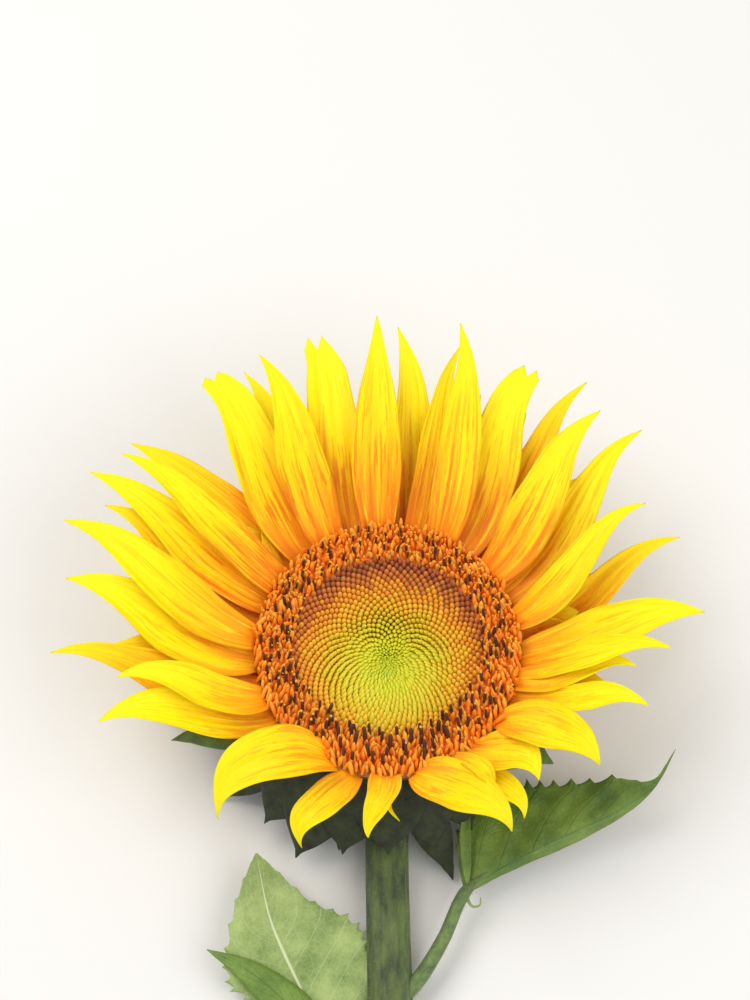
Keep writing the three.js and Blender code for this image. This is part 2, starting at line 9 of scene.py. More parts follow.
import bpy
import numpy as np
from bpy.props import FloatProperty, FloatVectorProperty, IntProperty, PointerProperty
from bpy.types import Operator, Panel, PropertyGroup
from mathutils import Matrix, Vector


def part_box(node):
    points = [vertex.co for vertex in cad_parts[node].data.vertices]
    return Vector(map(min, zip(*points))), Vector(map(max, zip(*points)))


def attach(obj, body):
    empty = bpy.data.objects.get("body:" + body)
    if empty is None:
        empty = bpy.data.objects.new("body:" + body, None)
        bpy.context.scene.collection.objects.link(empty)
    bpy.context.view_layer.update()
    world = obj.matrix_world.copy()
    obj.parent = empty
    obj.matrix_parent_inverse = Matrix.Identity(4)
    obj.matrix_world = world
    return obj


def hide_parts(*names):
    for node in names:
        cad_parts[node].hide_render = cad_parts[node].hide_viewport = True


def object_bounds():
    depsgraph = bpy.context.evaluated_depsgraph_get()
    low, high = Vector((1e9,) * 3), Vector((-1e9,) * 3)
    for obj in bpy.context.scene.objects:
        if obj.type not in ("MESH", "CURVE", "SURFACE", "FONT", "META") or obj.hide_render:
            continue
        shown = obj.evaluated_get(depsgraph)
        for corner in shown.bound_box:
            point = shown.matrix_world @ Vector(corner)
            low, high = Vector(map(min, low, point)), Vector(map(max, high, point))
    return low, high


bl_info = {
    "name": "Cut Sunflower",
    "version": (1, 0, 0),
    "blender": (4, 5, 0),
    "location": "3D View > Sidebar > Sunflower",
    "description": "Builds a cut sunflower with its rays, disc florets, bracts, stem and leaves",
    "category": "Add Mesh",
}

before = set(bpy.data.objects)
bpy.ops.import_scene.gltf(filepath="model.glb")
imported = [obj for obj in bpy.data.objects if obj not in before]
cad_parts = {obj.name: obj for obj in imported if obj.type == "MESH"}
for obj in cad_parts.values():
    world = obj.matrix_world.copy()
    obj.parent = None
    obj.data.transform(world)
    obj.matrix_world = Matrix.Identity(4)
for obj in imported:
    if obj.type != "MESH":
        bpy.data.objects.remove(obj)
CAD_BOX = [list(corner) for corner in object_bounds()]
BODY = "root"
MM = 0.001

# Head, in millimetres from its own axis
FLORET_PLANE = 54
DISC_UNDERSIDE = 44
DISC_RADIUS = 49.7
BEAD_RADIUS = 38
DISC_BELOW_FLORETS = 1
DISH_DEPTH = 5
RIM_RADIUS = 52
RIM_TOP = 53.5
RECEPTACLE_BACK = 27.3
NECK_RADIUS = 10.5
CURVE_HANDLE = 0.36
SWELL_FULLNESS = 2.5
GOLDEN_ANGLE = math.pi * (3 - math.sqrt(5))
DISC_LOW, DISC_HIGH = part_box("disc")
HEAD_PLACE = np.array([
    (DISC_LOW.x + DISC_HIGH.x) / 2 / MM,
    (DISC_LOW.y + DISC_HIGH.y) / 2 / MM,
    DISC_LOW.z / MM - DISC_UNDERSIDE,
])

# Rays
RAY_ROOT_RADIUS = 52.8
RAY_ROOT_HALF_WIDTH = 4.6
RAY_TIP_HALF_WIDTH = 0.25
RAY_HOOK = 3.2
RAY_HOOK_LATE = 2.6
RAY_HOOK_ONSET = 3
RAY_CREASES = 9
RAY_WIDEST_AT = 0.46
RAY_TAPER = 1.5
FAR_RAY_ROOT_HALF_WIDTH = 6.4
FAR_RAY_WIDEST_AT = 0.38
RAY_STATIONS = 46
RAY_COLUMNS = 20
RAY_EDGE_THICKNESS = 0.45
RAY_TIP_THINNING = 0.35
RAY_TWIST = 9
EDGE_WAVE = 0.03
EDGE_WAVES = 2.6
RIPPLE_SHARE = 0.6
RIPPLE_WAVES = 1.2
FRILL_SHARE = 0.5
FRILL_WAVES = 1.9
CREASE_SPREAD = 0.8
CREASE_JITTER = 0.1
OUTER_CREASES_FROM = 0.6
OUTER_CREASE_SHARE = 0.6
CREASE_DRIFT = 0.06
CREASE_WIDTHS = (0.05, 0.1)
CREASE_DEPTHS = (0.1, 1)
CREASE_DEPTH_BIAS = 1.5
NOTCH_START = 0.8
NOTCH_TIP_SHARE = 0.5
ROWS = {
    "front": {"drop": 2.2, "tip_height": 20, "leave": 30, "arrive": 2, "cup": 2.2},
    "middle": {"drop": 5.2, "tip_height": 14, "leave": 20, "arrive": 2, "cup": 1.8},
    "back": {"drop": 8.2, "tip_height": 8, "leave": 11, "arrive": 0, "cup": 1.4},
}

# Each ray: azimuth of its root and tip in degrees, reach of its tip, width, row, and what differs
RAYS = (
    (94, 91.8, 139, 20, "front", {"hook": 0, "taper": 1.35}),
    (80, 88.2, 138, 18, "back", {"tip_height": 12, "hook": -3.5}),
    (76, 76.9, 131, 14, "middle", {}),
    (66, 77.5, 139, 18, "front", {"hook": -4, "taper": 1.35}),
    (56, 63.5, 132, 22, "middle", {"notch": 4}),
    (49, 54.3, 141, 15, "back", {}),
    (38, 47.9, 129, 21, "front", {}),
    (26, 40.9, 137, 20, "middle", {"taper": 1.3}),
    (14, 27.8, 117, 15.5, "front", {"widest_at": 0.38, "taper": 1.3}),
    (8, 20.8, 126, 16, "back", {"widest_at": 0.34}),
    (-1, 4.5, 126, 21, "middle", {}),
    (-8, -3.2, 112, 12.5, "front", {"tip_height": 16, "taper": 1.4, "drop": 4.6}),
    (-14, -6.5, 99, 12, "back", {"tip_height": 9, "drop": 2.6, "leave": 24}),
    (-22, -15.5, 106, 11.5, "middle", {"tip_height": 11, "widest_at": 0.6}),
    (-36, -31, 97, 20, "front",
     {"tip_height": 2, "heading": 4, "leave": 49, "arrive": -46, "root_half": 2.6, "widest_at": 0.5,
      "taper": 1.4}),
    (-53, -44, 82, 19, "front",
     {"tip_height": 4, "heading": -22, "leave": 11, "arrive": -33, "root_half": 2.4, "bow": 2.5}),
    (-56, -52, 87, 12, "middle", {"tip_height": -8, "leave": 19, "arrive": -50, "root_half": 2.6}),
    (-66, -57.5, 73, 11, "back", {"tip_height": -7, "leave": 4, "arrive": -20, "root_half": 2.6}),
    (-79, -57, 89, 21, "front",
     {"tip_height": -6, "heading": -36, "leave": 52, "arrive": -48, "root_half": 3.2, "hook": 3,
      "taper": 1.25}),
    (269, 264.1, 77, 13, "front", {"tip_height": -8, "leave": 16, "arrive": -48, "root_half": 6,
     "widest_at": 0.15}),
    (257, 247, 87, 15, "middle",
     {"tip_height": -10, "heading": 218, "leave": 24, "arrive": -62, "root_half": 3, "hook": -4.5}),
    (247, 226.5, 97, 23, "front",
     {"tip_height": -4, "heading": 166, "leave": 58, "arrive": -54, "root_half": 3.2, "hook": -6,
      "bow": -5.5}),
    (211, 197.8, 119, 20, "middle", {"bow": -3.5}),
    (203, 190.2, 108, 16, "front", {"tip_height": 18}),
    (195, 182.5, 134, 20, "back", {"tip_height": 10, "taper": 0.95}),
    (184, 169.3, 131, 22, "middle", {}),
    (175, 160.1, 138, 20, "front", {}),
    (165, 152.8, 129, 16, "back", {}),
    (155, 149.6, 140, 21, "middle", {}),
    (147, 144.6, 132, 16, "front", {}),
    (137, 140.5, 136, 20, "back", {}),
    (128, 122.3, 136, 23, "middle", {"notch": 3}),
    (122, 116.5, 133, 16, "back", {}),
    (117, 113.5, 132, 20, "front", {}),
    (107, 102.8, 136, 23, "middle", {"notch": 6}),
)

# Short rays behind the others, between their feet: azimuth, reach
FILLER_RAYS = (
    (-28, 82), (-11, 90), (-4, 84), (4, 80), (11, 78), (20, 90), (32, 103), (43, 110), (52, 116),
    (61, 118), (71, 118), (85, 120), (100, 118), (112, 116), (126, 92), (133, 76), (142, 92), (151, 106),
    (160, 114), (170, 112), (180, 112), (190, 94), (199, 86), (207, 76),
)
FILLER_WIDTH = 19
FILLER_SHAPE = {
    "drop": 9.4, "tip_height": 2, "leave": 6, "arrive": 0, "cup": 1.2, "root_half": 5, "hook": 0,
}

# Stunted florets that curl out from the near rays: path, greatest half-width, half-width at the foot,
# where along it is widest, and cup
CURLED_FLORETS = (
    (((2.6, -52, 43), (0.2, -56, 40), (0.6, -61, 35.5), (4.6, -65, 31)), 1.5, 1.1, 0.3, 0.7),
    (((26, -47, 58), (33, -50.5, 62), (38.5, -54.5, 60), (42, -58.5, 52)), 3.8, 2.0, 0.62, 0.7),
)

# Bracts of the involucre: azimuth of the root and tip, reach, height of the tip above the floor, width
# and slope at the tip
BRACT_ROOT_RADIUS = 44
OUTER_ROOT_HEIGHT = 36.6
INNER_ROOT_HEIGHT = 40.4
BRACT_ROOT_HALF_WIDTH = 8
BRACT_LEAVE = -14
BRACT_WIDEST_AT = 0.4
BRACT_TIP_HALF_WIDTH = 0.2
BRACT_SLENDER = 0.85
BRACT_TAIL_AT = 0.95
BRACT_TAIL_HALF_WIDTH = 2.4
BRACT_ARCH = 2.4
BRACT_STATIONS = 30
BRACT_COLUMNS = 12
BRACT_THICKNESS = 1.3
BRACT_EDGE_THICKNESS = 0.4
BRACT_TIP_THINNING = 0.5
BRACT_WAVE = 0.5
BRACT_WAVES = 2
BRACT_EDGE_RADIANS = 9
BRACT_RIB = 0.35
BRACT_RIB_WIDTH = 0.12
ABOVE_FLOOR = 0.1
BRACT_HAIRS = {"density": 160000, "length_mm": 1.0, "lean": 0.7, "thickness_mm": 0.05}
OUTER_BRACTS = (
    (270, 270, 76, 21.5, 30, -28),
    (243, 243, 82, 8, 30, -48),
    (214, 214, 82, 1.4, 27, -52),
    (187, 187, 93, 3, 26, -36),
    (155, 155, 82, 1.4, 27, -48),
    (122, 122, 84, 1.4, 27, -48),
    (90, 90, 82, 1.4, 27, -52),
    (57, 57, 84, 1.4, 27, -48),
    (25, 25, 80, 1.4, 27, -52),
    (-4, -4, 78, 1.4, 26, -50),
    (-24, -24, 66, 5, 21, -62),
    (-79, -72, 85, 3, 17, -44),
)
INNER_BRACTS = (
    (254, 254, 72, 6, 22, -60),
    (227, 227, 70, 14, 24, -44),
    (201, 201, 72, 16, 24, -36),
    (171, 171, 74, 20, 24, -30),
    (138, 138, 74, 20, 24, -30),
    (106, 106, 74, 20, 24, -30),
    (73, 73, 74, 20, 24, -30),
    (41, 41, 74, 20, 24, -30),
    (10, 10, 73, 20, 24, -30),
    (-16, -16, 70, 18, 22, -36),
    (-50, -50, 64, 26, 20, -24),
)
# Extra bracts that crowd the side by the stem
NEAR_ROOT_HEIGHT = 38.4
NEAR_BRACTS = (
    (256, 256, 76, 15, 30, -46),
    (286, 284, 74, 17, 28, -44),
    (300, 298, 72, 14, 26, -50),
    (234, 230, 78, 12, 30, -48),
)
# Bracts that stand out under the rays at both sides. They keep the bracts' own green, where the others are
# painted darker as shade
SIDE_ROOT_HEIGHT = 42
SIDE_BRACTS = (
    (211, 201, 93, 38, 17, 0),
    (-38, -33.5, 79, 39, 22, -10),
)
# Back and rim of the receptacle: radius, height. Above RIM_BAND it is orange like the open florets
RIM_BAND = RIM_TOP - 9
RECEPTACLE_SEGMENTS = 144
RECEPTACLE_PROFILE = (
    (0, RECEPTACLE_BACK),
    (NECK_RADIUS, RECEPTACLE_BACK),
    (26, RECEPTACLE_BACK + 3.5),
    (42, RECEPTACLE_BACK + 7),
    (51, RECEPTACLE_BACK + 12),
    (RIM_RADIUS, FLORET_PLANE - 11),
    (RIM_RADIUS, RIM_BAND + 0.2),
    (RIM_RADIUS, RIM_TOP - 6.5),
    (RIM_RADIUS + 0.2, RIM_TOP - 3),
    (DISC_RADIUS + 0.3, RIM_TOP - 3),
    (DISC_RADIUS + 0.3, DISC_UNDERSIDE - 0.3),
    (0, DISC_UNDERSIDE - 0.3),
)

# Stem, lying on the floor and turning up into the head
STEM_CUT_Y = -215
STEM_CUT_RADIUS = 9.5
STEM_RADIUS = 8.8
STEM_TAPER_START = -200
STEM_TAPER_END = -90
STEM_BEND_RADIUS = 16
STEM_BEND_STEPS = 5
NECK_TOP = 27
NECK_FLARE_START = 18
NECK_FLARE = 1.4
STEM_SWAY = ((1.4, STEM_CUT_Y), (1.4, STEM_TAPER_START), (1.2, -165), (0.8, -134), (-0.4, -75), (0, -40))
STEM_SIDES = 72
STEM_STEPS = 190
STEM_RIBS = 11
STEM_RIB_TWIST = 1.5
STEM_HAIR_DENSITY = 150000

# Petioles and leaf blades
PETIOLE_STATIONS = 80
PETIOLE_SIDES = 32
PETIOLE_GROOVE = 0.175
PETIOLE_GROOVE_WIDTH = 0.5
PETIOLE_END_THINNING = 0.75
PETIOLE_HAIR_SEED = 7
PETIOLE_HAIRS = {"density": 260000, "length_mm": 1.5}
PETIOLES = {
    "petiole_right": {
        "slot": "leaf",
        "path": ((2, -134, 9), (12, -124, 9.6), (22, -108, 10.6), (31, -89, 13)),
        "rib": ((40, -81, 14.2),),
        "foot": 4.4,
        "tip": 2.7,
    },
    "petiole_left": {
        "slot": "leaf_underside",
        "path": ((-3, -194, 9), (-10, -187, 9), (-17.5, -173, 8), (-22, -156, 7)),
        "rib": ((-27, -144.5, 7.2),),
        "foot": 4.4,
        "tip": 2.6,
    },
}
LEAF_STATIONS = 132
LEAF_COLUMNS = 40
LEAF_FOOT_HALF_WIDTH = 2.4
LEAF_TIP_HALF_WIDTH = 0.4
LEAF_LOBE_SHARE = 0.125
LEAF_TAIL_AT = 0.74
LEAF_TAIL_BLEND = 0.12
LEAF_THICKNESS = 0.45
LEAF_RIB_DEPTH = 1.44
LEAF_RIB_WIDTH = 0.05
LEAF_CHANNEL_WIDTH = 0.06
LEAF_QUILT = 0.6
LEAF_QUILT_ONSET = 3
LEAF_SWAY = 1.2
LEAF_SWAYS = 1.3
FULL_RELIEF_HALF_WIDTH = 20
TOOTH_DEPTH = 0.14
TOOTH_ONSET = 6
TOOTH_HOOK = 2.4
TOOTH_UNEVENNESS = 0.12
LEAVES = {
    "leaf_right": {
        "slot": "leaf",
        "midrib": ((31.2, -88.3, 13.2), (45.5, -79.8, 16), (62, -71.7, 19), (77.2, -65.1, 21),
                   (93.3, -57.6, 23), (107.4, -48.4, 27), (115.5, -35.4, 33)),
        "near": {"half": 8, "widest_at": 0.42, "fullness": 1.6, "sharpness": 1.3, "turn": 74, "tooth": 0.02},
        "far": {"half": 29, "widest_at": 0.3, "fullness": 2.5, "sharpness": 1.05, "turn": -6, "tooth": 0.2},
        "teeth": 22,
        "lobe": 3,
        "channel": 0.5,
        "tail": 0.78,
    },
    "leaf_left": {
        "slot": "leaf_underside",
        "midrib": ((-22.3, -155.3, 7.2), (-31.5, -134, 9), (-40.7, -115, 10.5), (-47.3, -99, 12),
                   (-53, -73, 14)),
        "near": {"half": 31, "widest_at": 0.5, "fullness": 2.5, "sharpness": 1.35, "turn": -2,
                 "tooth": 0.12},
        "far": {"half": 24, "widest_at": 0.5, "fullness": 0.8, "sharpness": 1.6, "turn": 3, "tooth": 0.14},
        "teeth": 21,
        "lobe": 4,
        "channel": -0.7,
        "tail": 0,
    },
}

# Margins that turn over and show their other face: slot, path, greatest half-width, half-width at the
# foot, where along it is widest, and cup
LEAF_FOLDS = {
    "leaf_left_fold": (
        "leaf", ((-28, -151, 10), (-34, -141, 12), (-44, -130.5, 14), (-57, -120.5, 15),
                 (-72, -112.5, 13.5)), 8.6, 2.0, 0.36, -1.4),
    "leaf_right_fold": (
        "leaf", ((32, -86.5, 14.5), (31.2, -74, 17), (31.4, -60, 18.5), (34, -45, 19)), 2.2, 0.5, 0.5, 0.8),
    "leaf_right_curl": (
        "leaf_underside", ((31.4, -88, 13), (31.8, -91.2, 12.5), (33.8, -94.4, 12), (36.6, -94, 12.5),
                           (37, -91.2, 13.5)), 0.7, 0.8, 0.1, 0.1),
}
STRAP_STATIONS = 40
STRAP_COLUMNS = 8
STRAP_THICKNESS = 0.4
STRAP_TIP_HALF_WIDTH = 0.15
STRAP_SHARPNESS = 1.4

# Floor and lights, in metres. The lights' places are from the middle of the bloom
FLOOR_HALF_SIDE = 6.0
WORLD_COLOUR = "#f4f5f7"
WORLD_STRENGTH = 0.62
KEY_PLACE, KEY_SIDE = (-0.75, 0.45, 1.25), 1.0
FILL_PLACE, FILL_SIDE, FILL_SHARE = (0.9, -0.5, 1.0), 1.2, 0.65

# Camera: 1.2 m from the bloom, looking down on it at 66 degrees
IMAGE_HEIGHT = 1000
FOCAL_PIXELS = 3000
CAMERA_DISTANCE = 1200
CAMERA_ELEVATION = 66
AIM_RIGHT = -5.2
AIM_UP = 59.2


# Sizes and directions

def radial(degrees):
    """The level direction at an azimuth."""
    angle = math.radians(degrees)
    return np.array([math.cos(angle), math.sin(angle), 0.0])


def on_head(degrees, radius, height):
    """A place on the head by its azimuth, radius and height."""
    return radial(degrees) * radius + np.array([0, 0, height])


def sloping(degrees, slope):
    """The direction at an azimuth that rises by so many degrees."""
    angle = math.radians(slope)
    return radial(degrees) * math.cos(angle) + np.array([0, 0, math.sin(angle)])


def unit(vectors):
    return vectors / np.linalg.norm(vectors, axis=-1, keepdims=True)


def in_place(points):
    """Millimetres from the head's axis to metres in the part's own frame."""
    return (np.asarray(points, float) + HEAD_PLACE) * MM


def head_spine(root, tip, root_radius, root_height, reach, tip_height, leave, arrive, heading=None):
    """The four points of a ray's or bract's curve. It leaves its root at one slope and meets its tip
    at another."""
    start = on_head(root, root_radius, root_height)
    end = on_head(tip, reach, tip_height)
    handle = np.linalg.norm(end - start) * CURVE_HANDLE
    first = start + sloping(root if heading is None else heading, leave) * handle
    outward = unit(unit((end - start) * (1, 1, 0)) + radial(tip))
    slope = math.radians(arrive)
    landing = outward * math.cos(slope) + np.array([0, 0, math.sin(slope)])
    return start, first, end - landing * handle, end


def along_bezier(points, t):
    """Points and directions along a cubic curve."""
    a, b, c, d = (np.asarray(point)[None, :] for point in points)
    t = t[:, None]
    places = a * (1 - t) ** 3 + 3 * b * t * (1 - t) ** 2 + 3 * c * t ** 2 * (1 - t) + d * t ** 3
    heading = (b - a) * (1 - t) ** 2 + 2 * (c - b) * t * (1 - t) + (d - c) * t ** 2
    return places, unit(heading)


def along_path(points, t):
    """Points and directions along a smooth curve through the points given."""
    points = np.asarray(points, float)
    padded = np.vstack([2 * points[0] - points[1], points, 2 * points[-1] - points[-2]])
    spans = len(points) - 1
    place = np.clip(np.asarray(t, float), 0, 1) * spans
    index = np.minimum(place.astype(int), spans - 1)
    u = (place - index)[:, None]
    p0, p1, p2, p3 = (padded[index + k] for k in range(4))
    pairs = ((p0, p1), (p1, p2), (p2, p3))
    gaps = [np.sqrt(np.linalg.norm(q - p, axis=1, keepdims=True)) for p, q in pairs]
    g0, g1, g2 = (np.maximum(gap, 1e-6) for gap in gaps)
    m1 = ((p1 - p0) / g0 - (p2 - p0) / (g0 + g1) + (p2 - p1) / g1) * g1
    m2 = ((p2 - p1) / g1 - (p3 - p1) / (g1 + g2) + (p3 - p2) / g2) * g1
    c2 = -3 * p1 + 3 * p2 - 2 * m1 - m2
    c3 = 2 * p1 - 2 * p2 + m1 + m2
    return p1 + m1 * u + c2 * u ** 2 + c3 * u ** 3, unit(m1 + 2 * c2 * u + 3 * c3 * u ** 2)


def swell(t, widest_at, root, widest, tip, sharpness, fullness=SWELL_FULLNESS):
    """Half-width along a blade: it swells quickly from its root and tapers from its widest place."""
    rising = root + (widest - root) * (1 - np.clip(1 - t / widest_at, 0, 1) ** fullness)
    falling = widest + (tip - widest) * np.clip((t - widest_at) / (1 - widest_at), 0, 1) ** sharpness
    return np.where(t < widest_at, rising, falling)


# Meshes

def new_piece(name, points, faces, materials, uv=None, face_material=None, smooth=True):
    """A mesh object whose place is in its mesh. uv gives one pair of numbers for each point."""
    mesh = bpy.data.meshes.new(name)
    mesh.from_pydata([tuple(point) for point in points], [], [tuple(face) for face in faces])
    for material in materials:
        mesh.materials.append(material)
    if uv is not None:
        corners = np.zeros(len(mesh.loops), np.int32)
        mesh.loops.foreach_get("vertex_index", corners)
        layer = mesh.uv_layers.new(name="Blade")
        layer.data.foreach_set("uv", np.asarray(uv, np.float32)[corners].ravel())
    if face_material is not None:
        mesh.polygons.foreach_set("material_index", np.asarray(face_material, np.int32))
    mesh.polygons.foreach_set("use_smooth", np.full(len(mesh.polygons), smooth))
    mesh.update()
    piece = bpy.data.objects.new(name, mesh)
    bpy.context.scene.collection.objects.link(piece)
    return piece


def dress(piece, slot, *nodes):
    """Says what a piece rides on and what it stands for. The slot is not used."""
    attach(piece, BODY)
    if nodes:
        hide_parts(*nodes)
    return piece


def grid_faces(rows, columns, closed=False):
    """Quads between rows of points. A closed grid joins its last column to its first."""
    width = columns if closed else columns + 1
    faces = []
    for i in range(rows):
        for j in range(columns):
            k = (j + 1) % width
            faces.append((i * width + j, (i + 1) * width + j, (i + 1) * width + k, i * width + k))
    return faces


def blade_grid(stations, columns):
    """Shares along a blade from its root to its tip, and across it from one edge to the other."""
    return np.linspace(0, 1, stations + 1), np.linspace(-1, 1, columns + 1)[None, :]


def blade_mesh(places, tangents, sideways, across, above, along, depth):
    """Points and faces of a closed thin blade. across, above, along and depth are grids of rows from
    root to tip and columns from one edge to the other."""
    side = unit(sideways[None, :] - tangents * (tangents @ sideways)[:, None])
    normal = np.cross(tangents, side)
    top = (places[:, None, :] + side[:, None, :] * across[..., None] + normal[:, None, :] * above[..., None]
           + tangents[:, None, :] * along[..., None])
    under = top - normal[:, None, :] * depth[..., None]
    rows, columns = across.shape[0] - 1, across.shape[1] - 1
    layer = (rows + 1) * (columns + 1)
    width = columns + 1
    upper = grid_faces(rows, columns)
    faces = list(upper)
    faces += [tuple(layer + k for k in reversed(face)) for face in upper]
    for i in range(rows):
        a, b = i * width, (i + 1) * width
        faces.append((a, layer + a, layer + b, b))
        a, b = a + columns, b + columns
        faces.append((a, b, layer + b, layer + a))
    for j in range(columns):
        last = rows * width + j
        faces.append((last, layer + last, layer + last + 1, last + 1))
        faces.append((j, j + 1, layer + j + 1, layer + j))
    return np.vstack([top.reshape(-1, 3), under.reshape(-1, 3)]), faces


def thinned(v, rise, edge, tip):
    """Thickness over a blade, as a share: edge is what is left at its edges, and tip what is lost at its
    tip."""
    return (edge + (1 - edge) * (1 - v * v)) * (1 - tip * rise)


def blade_uv(t, v, offset=0):
    """The blade's own coordinates: along from 0 to 1, and across from 0 to 1. A whole number added to
    across gives each blade its own piece of the pattern."""
    pairs = np.stack([np.broadcast_to((v + 1) / 2 + offset, (len(t), v.shape[-1])),
                      np.broadcast_to(t[:, None], (len(t), v.shape[-1]))], axis=-1).reshape(-1, 2)
    return np.vstack([pairs, pairs])


def blade_piece(name, blade, finish, slot, *nodes):
    """A dressed piece from the points, faces and UV of a blade."""
    points, faces, uv = blade
    return dress(new_piece(name, points, faces, (finish,), uv), slot, *nodes)


def ring_faces(rows, sides):
    """Faces of a closed limb made of rings. Its foot and head points follow the points of the rings."""
    faces = [tuple(reversed(face)) for face in grid_faces(rows - 1, sides, closed=True)]
    foot, head, last = rows * sides, rows * sides + 1, (rows - 1) * sides
    for j in range(sides):
        k = (j + 1) % sides
        faces.append((foot, k, j))
        faces.append((head, last + j, last + k))
    return faces


def tube_mesh(places, tangents, reference, radii):
    """Points and faces of a closed limb. radii is a grid of rows along it and columns around it."""
    side = unit(reference[None, :] - tangents * (tangents @ reference)[:, None])
    up = np.cross(tangents, side)
    rows, sides = radii.shape
    angles = (2 * np.pi * np.arange(sides) / sides)[None, :, None]
    ring = side[:, None, :] * np.cos(angles) + up[:, None, :] * np.sin(angles)
    points = (places[:, None, :] + ring * radii[..., None]).reshape(-1, 3)
    return np.vstack([points, places[:1], places[-1:]]), ring_faces(rows, sides)


def turned_mesh(profile, segments):
    """Points and faces of a solid turned about the head's axis, from its underside to its top."""
    rings = [(radius, height) for radius, height in profile if radius > 0]
    angles = [2 * math.pi * j / segments for j in range(segments)]
    points = [(radius * math.cos(angle), radius * math.sin(angle), height)
              for radius, height in rings for angle in angles]
    points += [(0, 0, profile[0][1]), (0, 0, profile[-1][1])]
    return np.array(points), ring_faces(len(rings), segments)


# Materials

# Sockets of a Mix node that mixes colours
MIX_A, MIX_B, MIX_RESULT = 6, 7, 2
# Patterns of a ligule over its own width and length. On a ray 18 mm wide they give a fold each 5 mm
# and a vein each 1.4 mm
LIGULE_FOLDS = (3.6, 1.1, 1.0)
LIGULE_VEINS = (13.0, 2.2, 1.0)
FINE_STREAK_SHARE = 0.6
# Shares of the length at which the dark lines of painted shade in the grooves begin and are full
GROOVE_SHADE_FADE = (0.92, 0.25)
# Where the veins turn to a dark line of painted shade in a groove or a pale line of painted highlight on a
# ridge: from, to and strength
GROOVE_SHADE = (0.52, 0.57, 0.9)
RIDGE_HIGHLIGHT = (0.45, 0.38, 0.75)
# Colour of the painted highlight on the ridges
RIDGE_HIGHLIGHT_COLOUR = "#ffe418"
# Grains of the other tissues, in millimetres
FLORET_GRAIN = 0.4
FELT_GRAIN = 2 / 3
LEAF_NET_CELL = 25 / 12
LEAF_PATCH = 50 / 3
# Side veins of a leaf, and how far they sweep towards its tip
VEIN_PAIRS = 7
VEIN_SWEEP = 0.3
# Where the lines on a leaf begin and are full, off their middle
SIDE_VEIN_EDGE = (0.07, 0.02)
MIDRIB_EDGE = (0.035, 0.01)
NET_EDGE = (0.12, 0.0)


def to_linear(text):
    """An sRGB hex colour as linear red, green, blue and alpha."""
    channels = [int(text[i:i + 2], 16) / 255 for i in (1, 3, 5)]
    linear = [c / 12.92 if c <= 0.04045 else ((c + 0.055) / 1.055) ** 2.4 for c in channels]
    return (*linear, 1.0)


def per_metre(size_mm):
    """The scale of a pattern whose grain is so many millimetres on Object coordinates."""
    return 1 / (size_mm * MM)


def add_node(tree, kind, inputs=None, stops=(), **settings):
    """Adds a node. inputs gives each input a value, a socket, or a node whose first output it takes.
    stops holds the colours of a ramp by their places."""
    node = tree.nodes.new(kind)
    for name, value in settings.items():
        setattr(node, name, value)
    for name, value in (inputs or {}).items():
        if isinstance(value, bpy.types.Node):
            value = value.outputs[0]
        if isinstance(value, bpy.types.NodeSocket):
            tree.links.new(value, node.inputs[name])
        else:
            node.inputs[name].default_value = value
    for i, (place, colour) in enumerate(stops):
        elements = node.color_ramp.elements
        element = elements[i] if i < 2 else elements.new(place)
        element.position = place
        element.color = to_linear(colour)
    return node


def new_material(name, **sockets):
    """A material with a principled shader. Returns it, its node tree and the shader."""
    material = bpy.data.materials.new(name)
    material.use_nodes = True
    tree = material.node_tree
    tree.nodes.clear()
    shader = add_node(tree, "ShaderNodeBsdfPrincipled", sockets)
    add_node(tree, "ShaderNodeOutputMaterial", {"Surface": shader})
    return material, tree, shader


